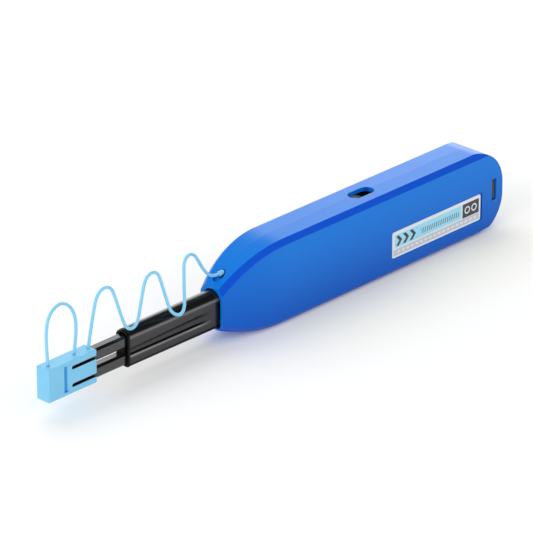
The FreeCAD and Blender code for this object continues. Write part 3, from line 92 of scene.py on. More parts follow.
MM = 0.001
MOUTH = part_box("case_left")[1].x
CAP_LOW, CAP_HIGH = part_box("guide_cap")
SLEEVE_LOW, SLEEVE_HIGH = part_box("nozzle_sleeve")
BARS_LOW, BARS_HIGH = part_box("nozzle_bars")
LABEL_LOW, LABEL_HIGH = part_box("label")
KNOT_LOW, KNOT_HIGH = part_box("cord_knot")
BARS_MIDDLE = (BARS_LOW.z + BARS_HIGH.z) / 2
HALF_PITCH = 3.125 * MM  # from the bars' middle height up or down to either bar's axis
SILL_DROP = 1.75 * MM  # from the bars' middle height down to the foot of the sleeve's trough
SLEEVE_TAPER = 0.45 * MM  # what the sleeve's half width loses from the mouth to the front


def tint(red, green, blue):
    """A screen colour, 0 to 255 in each part, as the linear colour that a shader takes."""
    parts = [v / 255 for v in (red, green, blue)]
    return tuple(v / 12.92 if v <= 0.04045 else ((v + 0.055) / 1.055) ** 2.4 for v in parts)


# ---------------------------------------------------------------- what a user may change


def colour_setting(name, description, *parts):
    return bpy.props.FloatVectorProperty(
        name=name, description=description, subtype="COLOR", size=3, min=0, max=1,
        default=tint(*parts),
    )


def length_setting(name, description, default):
    return bpy.props.FloatProperty(
        name=name, description=description, unit="LENGTH", min=0, default=default
    )


class PenColours(bpy.types.PropertyGroup):
    """Colours of the pen's finishes."""

    shell: colour_setting("Shell", "Moulded case halves", 0, 121, 221)
    # The shell's painted shade: a darker copy of its blue for the sides down by the foot and
    # towards the nose.
    shell_shade: colour_setting("Shell foot", "The case's sides down by the foot", 0, 88, 194)
    # Painted shade: a darker copy of the shell's blue for its bevels.
    bevel: colour_setting("Bevels", "Bevelled edges of the case", 0, 80, 207)
    # Colour of the painted highlight on the shell's edges.
    shell_highlight: colour_setting("Shell edge", "Where handling has polished the shell", 60, 150, 248)
    black: colour_setting("Black", "Sleeve and rear stop", 20, 20, 21)
    bars: colour_setting("Bars", "The nozzle's two bars", 20, 20, 22)
    cap: colour_setting("Cap", "Guide cap", 124, 199, 236)
    cord: colour_setting("Cord", "Pull loop and tether", 132, 208, 245)
    paper: colour_setting("Label", "Label film", 232, 236, 244)
    field: colour_setting("Label field", "Printed pale field", 156, 222, 246)
    ink: colour_setting("Ink", "Dark print on the label", 46, 44, 52)
    band: colour_setting("Label band", "Printed grey band", 196, 200, 208)
    carriage: colour_setting("Carriage", "Frame that carries the reels", 46, 48, 52)
    reel: colour_setting("Reel", "Natural moulded reels", 226, 227, 222)
    gear: colour_setting("Gear", "Acetal rack, pinion and ratchet", 232, 228, 212)
    tape: colour_setting("Tape", "Woven cleaning tape", 240, 240, 236)


class PenSizes(bpy.types.PropertyGroup):
    """Sizes of the pieces that are made here."""

    cord_diameter: length_setting("Cord", "Diameter of the round cord", 1.1 * MM)
    knot_cord: length_setting(
        "Knot cord", "Diameter of the cord where the knot squeezes it", 0.9 * MM
    )
    knot_size: length_setting("Knot", "Half the width of the knot's path", 0.8 * MM)
    valley: length_setting("Valley", "Depth of the trough in the sleeve's sides", 0.55 * MM)
    lip: length_setting("Lip", "Rounding of the sleeve's front rim", 0.35 * MM)
    bead: length_setting("Bead", "Radius of the bead round the sleeve's front", 0.52 * MM)
    fork: length_setting("Fork", "From the mouth to the end of the fork", 42.4 * MM)
    floor_reach: length_setting("Floor", "Half the width of the floor", 6.0)
    view_distance: length_setting("View", "From the camera to the pen", 1.629)
    focal_length: bpy.props.FloatProperty(
        name="Lens", description="Focal length in millimetres", min=1, default=331.6
    )


def colours():
    return bpy.context.scene.pen_colours


def sizes():
    return bpy.context.scene.pen_sizes


# ---------------------------------------------------------------- shader maths


def plug(socket, value):
    """Links a Signal to a socket, or sets the socket to a number, a vector or a colour."""
    if isinstance(value, Signal):
        socket.id_data.links.new(value.socket, socket)
    elif socket.type == "RGBA" and len(value) == 3:
        socket.default_value = (*value, 1.0)
    else:
        socket.default_value = value


class Signal:
    """A node's output that plain arithmetic works on; each step adds one Math node."""

    def __init__(self, socket):
        self.socket = socket

    def maths(self, operation, *values):
        node = self.socket.id_data.nodes.new("ShaderNodeMath")
        node.operation = operation
        for socket, value in zip(node.inputs, values):
            plug(socket, value)
        return Signal(node.outputs[0])

    def __add__(self, other):
        return self.maths("ADD", self, other)

    def __radd__(self, other):
        return self.maths("ADD", other, self)

    def __sub__(self, other):
        return self.maths("SUBTRACT", self, other)

    def __rsub__(self, other):
        return self.maths("SUBTRACT", other, self)

    def __mul__(self, other):
        return self.maths("MULTIPLY", self, other)

    def __rmul__(self, other):
        return self.maths("MULTIPLY", other, self)

    def __abs__(self):
        return self.maths("ABSOLUTE", self)

    def __mod__(self, step):
        return self.maths("FLOORED_MODULO", self, step)

    def power(self, exponent):
        return self.maths("POWER", self, exponent)

    def greater(self, other):
        return self.maths("MAXIMUM", self, other)

    def wave(self):
        return self.maths("SINE", self)

    def rise(self, low, high):
        """0 below low, 1 above high, and a smooth step between them."""
        node = self.socket.id_data.nodes.new("ShaderNodeMapRange")
        node.interpolation_type = "SMOOTHSTEP"
        for name, value in (("Value", self), ("From Min", low), ("From Max", high)):
            plug(node.inputs[name], value)
        return Signal(node.outputs[0])

    def within(self, low, high, soft):
        """1 between low and high, with soft edges."""
        return self.rise(low - soft, low + soft) * (1 - self.rise(high - soft, high + soft))


class Finish:
    """A new material under construction, or the nodes of an owner that is given, as the world."""

    def __init__(self, name, owner=None):
        self.owner = owner or bpy.data.materials.new(name)
        self.owner.use_nodes = True
        self.tree = self.owner.node_tree
        self.tree.nodes.clear()

    def add(self, kind, settings=None, inputs=None, out=0):
        """Any node: its type, then its settings, then the values or links of its sockets."""
        node = self.tree.nodes.new("ShaderNode" + kind)
        for name, value in (settings or {}).items():
            setattr(node, name, value)
        for key, value in (inputs or {}).items():
            plug(node.inputs[key], value)
        return Signal(node.outputs[out]) if len(node.outputs) else None

    def place(self):
        """The object's own x, y and z, in millimetres."""
        spot = self.add("TexCoord", out="Object")
        split = self.add("SeparateXYZ", inputs={0: spot}).socket.node
        return [Signal(s) * (1 / MM) for s in split.outputs]

    def noise(self, scale, detail=2.0, stretch=(1, 1, 1)):
        """Noise of so many waves per metre, 0 to 1."""
        spot = self.add("TexCoord", out="Object")
        mapped = self.add("Mapping", inputs={"Vector": spot, "Scale": stretch})
        return self.add("TexNoise", inputs={"Vector": mapped, "Scale": scale, "Detail": detail})

    def along(self):
        """The surface's own map, as two numbers.

        On a cord they are the angle round it in radians and the way along it in millimetres, and on
        the sleeve its shares of painted dark, a painted shade and dark reflection, and of painted
        gleam, a painted highlight.
        """
        spot = self.add("UVMap", {"uv_map": "surface"})
        split = self.add("SeparateXYZ", inputs={0: spot}).socket.node
        return Signal(split.outputs[0]), Signal(split.outputs[1])

    def mix(self, factor, first, second):
        """A colour between two others."""
        return self.add("Mix", {"data_type": "RGBA"}, {0: factor, 6: first, 7: second}, out=2)

    def edge(self, radius, gain):
        """1 on a sharp edge and 0 away from it, by how much rounding it turns the surface."""
        rounded = self.add("Bevel", {"samples": 6}, {"Radius": radius})
        flat = self.add("NewGeometry", out="Normal")
        agree = self.add(
            "VectorMath", {"operation": "DOT_PRODUCT"}, {0: rounded, 1: flat}, out="Value"
        )
        return ((1 - agree) * gain).rise(0.0, 1.0)

    def relief(self, height, depth, rounding=0.0):
        """The surface's direction after a relief of so many metres, on edges rounded first."""
        inputs = {"Height": height, "Distance": depth, "Strength": 1.0}
        if rounding:
            inputs["Normal"] = self.add("Bevel", {"samples": 6}, {"Radius": rounding})
        return self.add("Bump", inputs=inputs)

    def close(self, colour, roughness, normal=None, **constants):
        """Ends the material with its surface shader."""
        inputs = {"Base Color": colour, "Roughness": roughness}
        if normal is not None:
            inputs["Normal"] = normal
        inputs.update({name.replace("_", " "): value for name, value in constants.items()})
        surface = self.add("BsdfPrincipled", inputs=inputs)
        self.add("OutputMaterial", inputs={"Surface": surface})
        return self.owner


def paint(names, material):
    """Gives CAD nodes a finish."""
    for name in names:
        NODES[name].data.materials.clear()
        NODES[name].data.materials.append(material)


# ---------------------------------------------------------------- finishes


def shell_finish():
    """Satin moulded blue: fine spark texture, a crease along the parting line, glossier edges with
    a painted highlight.

    Bevels, and the sides down by the foot and towards the nose, are deeper blue as painted shade,
    and a painted shade line darkens the corner of the label's recess behind the label. The relief
    also falls by 1 in 40 to each side, as a slight crown.
    """
    f = Finish("moulded_blue")
    x, y, z = f.place()
    cloud = f.noise(38.0, 3.0)
    grain = f.noise(5200.0, 2.0)
    # Share of a sharp edge, where a painted highlight is laid and the surface is made a little
    # glossier.
    edge_highlight = f.edge(0.5 * MM, 7.0)
    # A painted shade line in the corner of the label's recess, behind the label.
    recess_shade = (x - LABEL_LOW.x / MM).within(-0.75, -0.35, 0.08)
    recess_shade = recess_shade * z.within(LABEL_LOW.z / MM, LABEL_HIGH.z / MM + 0.5, 0.1)
    recess_shade = recess_shade * y.rise(7.0, 7.5)
    facing = abs(f.add("SeparateXYZ", inputs={0: f.add("NewGeometry", out="Normal")}, out=1))
    # The bevels, found by the sideways part of the surface's direction, get a darker painted shade.
    bevel_shade = facing.within(0.4, 0.9, 0.08)
    # Painted shade: the sides darken towards their foot and towards the nose; faces that don't face
    # sideways keep the full colour.
    tone = z.rise(-4.0, 30.0) * (1 - 0.4 * x.rise(-5.0, 32.0))
    tone = tone.greater(1 - facing.rise(0.2, 0.5)) * (0.92 + 0.08 * cloud)
    body = f.mix(tone, tuple(colours().shell_shade), tuple(colours().shell))
    body = f.mix(bevel_shade, body, tuple(colours().bevel))
    colour = f.mix(edge_highlight * 0.25, body, tuple(colours().shell_highlight))
    colour = f.mix(recess_shade * 0.7, colour, tint(0, 40, 130))
    rough = 0.27 + 0.05 * cloud + 0.04 * grain - 0.05 * edge_highlight
    seam = abs(y).within(-1.0, 0.04, 0.03)
    height = grain * 0.006 - seam * 0.03 - abs(y) * 0.025
    return f.close(
        colour, rough, f.relief(height, MM, 0.28 * MM), Specular_IOR_Level=0.2, IOR=1.45
    )


def black_finish(name="moulded_black", mapped=False):
    """Smooth black moulding with faint draw lines along it, and a painted highlight on its edges.

    On the sleeve its map tells where a painted highlight lightens it and where it is painted black,
    as painted shade and dark reflection, with Metallic at 1 so that it reflects nothing there.
    """
    f = Finish(name)
    streak = f.noise(2400.0, 2.0, (0.04, 1, 1))
    cloud = f.noise(90.0, 2.0)
    # Share of a sharp edge, where a painted highlight is laid.
    edge_highlight = f.edge(0.3 * MM, 6.0)
    colour = f.mix(edge_highlight * 0.35, tuple(colours().black), tint(58, 58, 60))
    rough = 0.17 + 0.08 * cloud + 0.04 * streak
    relief = f.relief(streak, 0.004 * MM, 0.15 * MM)
    if not mapped:
        return f.close(colour, rough, relief, IOR=1.55)
    # Painted highlight where the map's second share is, and painted shade and dark reflection where
    # its first is: black, with Metallic at 1 so that it reflects nothing.
    painted_dark, painted_gleam = f.along()
    colour = f.mix(painted_gleam * (0.7 + 0.3 * cloud), colour, tint(150, 150, 152))
    colour = f.mix(painted_dark, colour, (0.0, 0.0, 0.0))
    return f.close(colour, rough, relief, Metallic=painted_dark, IOR=1.55)


def bead_finish():
    """Near-black with little gloss, for the bead and the fork's web: painted shade on the web and
    painted dark reflection on the bead.
    """
    f = Finish("near_black_shade")
    grain = f.noise(2600.0, 2.0)
    # Near-black, darker than the sleeve: painted shade on the web, and a painted dark for the dark
    # the bead reflects.
    colour = f.mix(grain, tint(6, 6, 7), tint(14, 14, 15))
    return f.close(colour, 0.3 + 0.15 * grain, f.relief(grain, 0.006 * MM),
                   Specular_IOR_Level=0.16)


def bar_finish():
    """Dark drawn bars with fine lines along them and a painted highlight on their edges."""
    f = Finish("drawn_dark_bar")
    streak = f.noise(3800.0, 3.0, (0.02, 1, 1))
    # Share of a sharp edge, where a painted highlight is laid.
    edge_highlight = f.edge(0.2 * MM, 6.0)
    colour = f.mix(edge_highlight * 0.3, tuple(colours().bars), tint(120, 120, 122))
    rough = 0.12 + 0.1 * streak
    return f.close(colour, rough, f.relief(streak, 0.006 * MM, 0.1 * MM), IOR=1.72)


def cap_finish():
    """Soft satin pale blue with a fine grain, a painted highlight on its edges, painted shade in
    the slots and a deeper blue painted shade in the groove.
    """
    f = Finish("moulded_pale_blue")
    cloud = f.noise(120.0, 2.0)
    grain = f.noise(6000.0, 2.0)
    # Share of a sharp edge, where a painted highlight is laid.
    edge_highlight = f.edge(0.35 * MM, 5.0)
    base = tuple(colours().cap)
    body = f.mix(cloud, [c * 0.96 for c in base], [min(c * 1.03, 1) for c in base])
    colour = f.mix(edge_highlight * 0.4, body, tint(190, 234, 252))
    x, y, z = f.place()
    sunk = CAP_HIGH.y / MM - abs(y)
    from_rear = x - CAP_LOW.x / MM
    # Painted shade inside the slots, and a deeper blue painted shade in the groove.
    slots = abs(abs(z - BARS_MIDDLE / MM) - HALF_PITCH / MM).within(-1.0, 0.9, 0.05)
    inside = slots * sunk.rise(0.03, 0.1) * from_rear.within(0.05, 11.4, 0.05)
    groove_shade = sunk.rise(0.1, 0.3) * from_rear.within(12.9, 14.4, 0.2)
    groove_shade = groove_shade * z.within(CAP_LOW.z / MM + 1.0, CAP_HIGH.z / MM - 1.0, 0.05)
    colour = f.mix(groove_shade, colour, tint(22, 150, 222))
    colour = f.mix(inside, colour, tint(8, 16, 30))
    return f.close(colour, 0.4 + 0.08 * grain, f.relief(grain, 0.008 * MM, 0.2 * MM))


def cord_finish():
    """Round braided cord: fine crossing strands that follow its own length."""
    f = Finish("braided_cord")
    across, along = f.along()
    one = (across * 6.0 + along * 5.2).wave()
    two = (across * 6.0 - along * 5.2).wave()
    strands = (one * two) * 0.5 + 0.5
    tone = f.noise(260.0, 2.0)
    base = tuple(colours().cord)
    body = f.mix(tone, [c * 0.93 for c in base], [min(c * 1.04, 1) for c in base])
    colour = f.mix(strands * 0.25, body, tint(168, 226, 250))
    return f.close(colour, 0.42 + 0.12 * strands, f.relief(strands, 0.03 * MM))


def label_finish():
    """Printed film: a pale field with plain chevrons and ticks, a dark square and a grey band."""
    f = Finish("printed_label")
    x, y, z = f.place()
    across = (LABEL_HIGH.x / MM) - x
    up = z - (LABEL_LOW.z / MM)
    soft = 0.05
    field = across.within(1.2, 35.5, soft) * up.within(3.5, 8.4, soft)
    square = across.within(36.0, 44.5, soft) * up.within(3.2, 8.4, soft)
    band = across.within(0.7, 44.6, soft) * up.within(0.7, 3.0, soft)
    lean = abs(up - 5.9)
    arrow = (across + lean * 0.9) % 3.5
    chevrons = arrow.within(0.0, 1.5, soft) * lean.within(-1.0, 1.9, soft)
    chevrons = chevrons * across.within(2.3, 12.6, soft)
    tick = (across - up * 0.25) % 1.15
    ticks = tick.within(0.25, 0.62, soft) * up.within(4.6, 6.6, soft)
    ticks = ticks * across.within(14.6, 34.2, soft)
    rings = [
        abs(((across - c) * (across - c) + (up - 5.8) * (up - 5.8)).power(0.5) - 1.15)
        .within(-1.0, 0.24, soft)
        for c in (38.5, 42.0)
    ]
    dash = (across % 2.3).within(0.3, 1.75, soft) * up.within(1.35, 2.3, soft)
    dash = dash * across.within(1.6, 43.6, soft)
    colour = f.mix(field, tuple(colours().paper), tuple(colours().field))
    colour = f.mix(field * chevrons.greater(ticks), colour, tuple(colours().ink))
    colour = f.mix(square, colour, tuple(colours().ink))
    colour = f.mix(square * rings[0].greater(rings[1]), colour, tuple(colours().paper))
    colour = f.mix(band, colour, tuple(colours().band))
    colour = f.mix(band * dash * 0.75, colour, tuple(colours().paper))
    fibre = f.noise(3000.0, 2.0)
    colour = f.mix(fibre * 0.06, colour, tint(150, 155, 165))
    return f.close(colour, 0.42 + 0.08 * fibre, f.relief(fibre, 0.004 * MM, 0.05 * MM))


def charcoal_finish():
    """Matt charcoal moulding of the carriage, with a painted highlight on its edges."""
    f = Finish("charcoal_carriage")
    grain = f.noise(2600.0, 3.0)
    # Share of a sharp edge, where a painted highlight is laid.
    edge_highlight = f.edge(0.2 * MM, 5.0)
    colour = f.mix(edge_highlight * 0.4, tuple(colours().carriage), tint(110, 112, 118))
    return f.close(colour, 0.55 + 0.1 * grain, f.relief(grain, 0.012 * MM, 0.12 * MM))


def natural_finish(name, colour):
    """Milky natural plastic with faint turning rings and softened edges."""
    f = Finish(name)
    grain = f.noise(1800.0, 3.0)
    cloud = f.noise(200.0, 2.0)
    base = tuple(colour)
    body = f.mix(cloud, [c * 0.94 for c in base], base)
    return f.close(body, 0.4 + 0.1 * grain, f.relief(grain, 0.008 * MM, 0.1 * MM))


def tape_finish(name, dirt):
    """Finely woven tape; used tape has a grey track along its middle."""
    f = Finish(name)
    x, y, z = f.place()
    warp = (y * 42.0).wave()
    weft = ((x + z) * 42.0).wave()
    weave = (warp * weft) * 0.5 + 0.5
    base = tuple(colours().tape)
    colour = f.mix(weave * 0.25, base, [c * 0.78 for c in base])
    if dirt:
        smear = f.noise(1400.0, 3.0, (1, 0.3, 1))
        colour = f.mix(smear.rise(0.42, 0.75) * dirt, colour, tint(132, 134, 138))
    return f.close(colour, 0.82 + 0.08 * weave, f.relief(weave, 0.02 * MM))


def steel_finish():
    """Bright drawn steel."""
    f = Finish("drawn_steel")
    streak = f.noise(5200.0, 3.0, (1, 0.05, 1))
    colour = f.mix(streak, tint(176, 178, 182), tint(206, 208, 212))
    return f.close(colour, 0.2 + 0.16 * streak, f.relief(streak, 0.004 * MM), Metallic=1.0)


def tip_finish():
    """Polished pale tips with a faint haze."""
    f = Finish("polished_tip")
    haze = f.noise(1500.0, 2.0)
    colour = f.mix(haze, tint(226, 228, 230), tint(240, 240, 240))
    return f.close(colour, 0.12 + 0.1 * haze, f.relief(haze, 0.002 * MM))


# ---------------------------------------------------------------- surfaces on a grid


def grid_piece(name, points, material, around=True, along=False, surface=None, smooth=True):
    """A mesh from a grid of points, shaped (rows, columns, 3).

    Columns close round if around is set, and rows if along is. Otherwise the first and last
    rows are closed by fans to their middles. Faces are turned outwards by the sign of the
    volume, the sum of a.(b x c) / 6 over the triangles.
    """
    rows, columns = points.shape[:2]
    index = np.arange(rows * columns).reshape(rows, columns)
    across = np.roll(index, -1, axis=1) if around else index[:, 1:]
    here = index if around else index[:, :-1]
    if along:
        low, low_next = here, across
        high, high_next = np.roll(here, -1, axis=0), np.roll(across, -1, axis=0)
    else:
        low, low_next, high, high_next = here[:-1], across[:-1], here[1:], across[1:]
    quads = np.stack([low, low_next, high_next, high], axis=-1).reshape(-1, 4)
    corners = points.reshape(-1, 3)
    fans = []
    if around and not along:
        middles = np.stack([points[0].mean(0), points[-1].mean(0)])
        first, last = len(corners), len(corners) + 1
        corners = np.vstack([corners, middles])
        ring = index[0]
        fans += np.stack([np.roll(ring, -1), ring, np.full(columns, first)], -1).tolist()
        ring = index[-1]
        fans += np.stack([ring, np.roll(ring, -1), np.full(columns, last)], -1).tolist()
    a, b, c = corners[quads[:, 0]], corners[quads[:, 1]], corners[quads[:, 2]]
    d = corners[quads[:, 3]]
    volume = (a * np.cross(b, c)).sum() + (a * np.cross(c, d)).sum()
    faces = quads.tolist() + fans
    if volume < 0:
        faces = [face[::-1] for face in faces]
    mesh = bpy.data.meshes.new(name)
    mesh.from_pydata(corners.tolist(), [], faces)
    mesh.polygons.foreach_set("use_smooth", np.full(len(faces), smooth))
    if surface is not None:
        ends = [surface[0, 0], surface[-1, 0]] if fans else []
        places = np.vstack([surface.reshape(-1, 2), *ends])
        loops = np.empty(len(mesh.loops), np.int32)
        mesh.loops.foreach_get("vertex_index", loops)
        layer = mesh.uv_layers.new(name="surface")
        layer.data.foreach_set("uv", places[loops].ravel())
    mesh.validate()
    mesh.materials.append(material)
    piece = bpy.data.objects.new(name, mesh)
    bpy.context.scene.collection.objects.link(piece)
    return piece


def unit(vectors):
    return vectors / np.linalg.norm(vectors, axis=-1, keepdims=True)


def tube_points(line, radius, upright, sides=16):
    """A round tube on a line: P + r (cos a N + sin a B), N and B square to the tangent T.

    B is T x upright, made a unit, and N is B x T, so the tube never twists about itself.
    """
    tangent = unit(np.gradient(line, axis=0))
    side = unit(np.cross(tangent, upright))
    out = np.cross(side, tangent)
    angle = np.linspace(0, 2 * np.pi, sides, endpoint=False)[None, :, None]
    ring = np.cos(angle) * out[:, None] + np.sin(angle) * side[:, None]
    steps = np.linalg.norm(np.diff(line, axis=0), axis=1)
    run = np.concatenate([[0], np.cumsum(steps)]) / MM
    surface = np.stack(np.broadcast_arrays(angle[..., 0], run[:, None]), axis=-1)
    return line[:, None] + radius * ring, surface


def smooth_line(points, resolution):
    """The points that a NURBS spline of order 3 passes, for control points in metres."""
    curve = bpy.data.curves.new("route", "CURVE")
    curve.dimensions = "3D"
    spline = curve.splines.new("NURBS")
    spline.points.add(len(points) - 1)
    for point, place in zip(spline.points, points):
        point.co = (*place, 1)
    spline.order_u = 3
    spline.use_endpoint_u = True
    spline.resolution_u = resolution
    holder = bpy.data.objects.new("route", curve)
    bpy.context.scene.collection.objects.link(holder)
    mesh = bpy.data.meshes.new_from_object(holder)
    line = np.empty(len(mesh.vertices) * 3)
    mesh.vertices.foreach_get("co", line)
    bpy.data.objects.remove(holder)
    bpy.data.meshes.remove(mesh)
    return line.reshape(-1, 3)


# ---------------------------------------------------------------- cords

# From the cap's front back to the loop's two holes and to the tether's hole.
LOOP_FRONT, LOOP_REAR, TETHER_BACK = 2.5 * MM, 14.1 * MM, 20.5 * MM
CORD_TUCK = 0.3 * MM  # how deep a cord's end sits in its hole
TETHER_SEAM = 33.4 * MM  # from the mouth to where the tether's two pieces meet

# The pull loop, as millimetres behind the cap's front and above the floor.
LOOP_ROUTE = (
    (2.1, 22.8), (1.9, 28.6), (2.6, 33.6), (5.1, 36.8), (9.0, 37.8), (12.6, 35.5),
    (14.8, 31.6), (15.4, 27.0), (14.8, 22.0),
)
# The tether, as millimetres ahead of the mouth, out to the labelled side and above the floor.
TETHER_ROUTE = (
    (56.5, 0.1, 20.4), (55.8, 0.3, 24.8), (54.9, 0.6, 30.2), (53.8, 1.1, 35.7),
    (51.1, 1.6, 37.8), (48.2, 2.1, 36.8), (46.9, 2.6, 32.7), (45.2, 3.1, 26.7),
    (43.3, 3.5, 21.3), (40.7, 3.6, 19.9), (37.9, 3.4, 21.1), (36.3, 3.1, 25.9),
    (34.8, 2.8, 30.9), (33.2, 2.6, 35.1), (30.2, 2.5, 36.4), (27.6, 2.7, 35.3),
    (26.3, 3.1, 31.0), (25.1, 3.7, 26.1), (24.0, 4.3, 21.5), (21.9, 4.6, 19.0),
    (19.3, 4.6, 18.0), (17.3, 4.4, 19.2), (16.7, 4.0, 22.5), (16.2, 3.3, 27.2),
    (15.6, 2.7, 31.8), (15.1, 2.2, 34.8), (12.6, 1.8, 36.5), (9.5, 1.4, 35.5),
    (7.0, 1.0, 32.0), (4.4, 0.6, 28.0), (1.6, 0.3, 25.0), (-1.5, 0.1, 23.5),
)


def cap_hole(back):
    """Where a cord goes into the cap's top."""
    return (CAP_HIGH.x - back, 0.0, CAP_HIGH.z - CORD_TUCK)


def tether_line():
    """The tether's whole line, from the cap to just inside the knot."""
    knot = (KNOT_LOW + KNOT_HIGH) / 2
    route = [(MOUTH + x * MM, y * MM, z * MM) for x, y, z in TETHER_ROUTE]
    inward = (Vector(route[-1]) - knot).normalized()
    end = knot + inward * (0.7 * sizes().knot_size)
    return smooth_line([cap_hole(TETHER_BACK), *route, tuple(end)], 10)


def cord_piece(name, line, material):
    points, surface = tube_points(line, sizes().cord_diameter / 2, (0.0, 1.0, 0.0))
    return grid_piece(name, points, material, surface=surface)


def knot_points():
    """An overhand knot: the trefoil (sin t + 2 sin 2t, cos t - 2 cos 2t, -1.15 sin 3t) / 3.

    It is scaled by half its width, and turned to lie on the slope that the eyelet is cut in.
    """
    t = np.linspace(0, 2 * np.pi, 120, endpoint=False)
    flat = np.stack([
        np.sin(t) + 2 * np.sin(2 * t), np.cos(t) - 2 * np.cos(2 * t), -1.15 * np.sin(3 * t)
    ], axis=-1) / 3
    lean = math.radians(38)
    turn = np.array([
        [math.cos(lean), 0, math.sin(lean)], [0, 1, 0], [-math.sin(lean), 0, math.cos(lean)]
    ])
    middle = np.array((KNOT_LOW + KNOT_HIGH) / 2)
    line = flat @ turn.T * sizes().knot_size + middle
    before, after = np.roll(line, 1, axis=0), np.roll(line, -1, axis=0)
    tangent = unit(after - before)
    side = unit(np.cross(tangent, line - middle))
    out = np.cross(side, tangent)
    angle = np.linspace(0, 2 * np.pi, 14, endpoint=False)[None, :, None]
    ring = np.cos(angle) * out[:, None] + np.sin(angle) * side[:, None]
    pace = 1.6  # cord per radian of t, as a share of the knot's half width
    run = t[:, None] * sizes().knot_size / MM * pace
    surface = np.stack(np.broadcast_arrays(angle[..., 0], run), axis=-1)
    return line[:, None] + ring * sizes().knot_cord / 2, surface


class PEN_OT_cords(bpy.types.Operator):
    """Makes the pull loop on the cap, and the tether with its knot"""

    bl_idname = "pen.cords"
    bl_label = "Cords"

    def execute(self, context):
        material = cord_finish()
        ends = [cap_hole(LOOP_FRONT), cap_hole(LOOP_REAR)]
        route = [(CAP_HIGH.x - x * MM, 0.0, z * MM) for x, z in LOOP_ROUTE]
        line = smooth_line([ends[0], *route, ends[1]], 10)
        loop = cord_piece("pull_loop_cord", line, material)
        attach(loop, "cap")
        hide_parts("pull_loop")

        line = tether_line()
        middle = int(np.argmin(np.abs(line[:, 0] - (MOUTH + TETHER_SEAM))))
        front, rear = line[:middle + 1], line[middle:]
        points, surface = knot_points()
        knot = grid_piece("tether_knot", points, material, along=True, surface=surface)
        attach(knot, "case")
        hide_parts("cord_knot")
        front_piece = cord_piece("tether_front", front, material)
        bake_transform(front_piece)
        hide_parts("tether_cord")
        rear_piece = cord_piece("tether_rear", rear, material)
        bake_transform(rear_piece)
        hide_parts("tether_cord")
        return {"FINISHED"}


# ---------------------------------------------------------------- case and nozzle


class PEN_OT_case(bpy.types.Operator):
    """Finishes the case halves and the label"""

    bl_idname = "pen.case"
    bl_label = "Case"

    def execute(self, context):
        paint(["case_left", "case_right"], shell_finish())
        paint(["label"], label_finish())
        return {"FINISHED"}


def sleeve_outline(half, foot, top, crown, corner, count=(4, 6, 84, 22)):
    """Half of the sleeve's section from its foot's middle up to its crown's middle.

    It is a flat foot, a quarter circle of radius corner, a flat side, and an arch: the part of
    a circle that rises by crown over half, so its radius is (half^2 + crown^2) / (2 crown).
    Every size may differ from station to station, and count is each stretch's points.
    """
    half, foot, top, crown, corner = (
        np.asarray(v, float).reshape(-1, 1) for v in (half, foot, top, crown, corner)
    )
    flat = np.linspace(0, 1, count[0], endpoint=False)[None]
    quarter = np.linspace(0, np.pi / 2, count[1], endpoint=False)[None]
    side = np.linspace(0, 1, count[2], endpoint=False)[None]
    spring = top - crown
    radius = (half * half + crown * crown) / (2 * crown)
    reach = np.arctan2(half, radius - crown)
    arch = reach * np.linspace(1, 0, count[3])[None]
    y = np.hstack([
        (half - corner) * flat,
        half - corner + corner * np.sin(quarter),
        half + 0 * side,
        radius * np.sin(arch),
    ])
    z = np.hstack([
        foot + 0 * flat,
        foot + corner * (1 - np.cos(quarter)),
        foot + corner + (spring - foot - corner) * side,
        top - radius * (1 - np.cos(arch)),
    ])
    return y, z


def step(values):
    """The smooth step 3 t^2 - 2 t^3 of t held between 0 and 1."""
    t = np.clip(values, 0, 1)
    return t * t * (3 - 2 * t)


def sleeve_rings(x, half, foot, top, crown, corner, depth=None, brow=None):
    """Closed sections at stations x. The side's trough is depth(x) deep.

    The trough runs from SILL_DROP under the bars' middle height up to brow(x). Its walls are
    smooth steps, the lower over 0.6 mm of height and the upper over 0.55 mm.
    """
    y, z = sleeve_outline(half, foot, top, crown, corner)
    if depth is not None:
        sill = BARS_MIDDLE - SILL_DROP
        low = step((z - sill) / (0.6 * MM))
        high = step((brow[:, None] - z) / (0.55 * MM))
        y = y - depth[:, None] * low * high
    x = np.broadcast_to(np.asarray(x)[:, None], y.shape)
    right = np.stack([x, y, z], axis=-1)
    left = right[:, -2:0:-1] * np.array([1.0, -1.0, 1.0])
    return np.concatenate([right, left], axis=1)


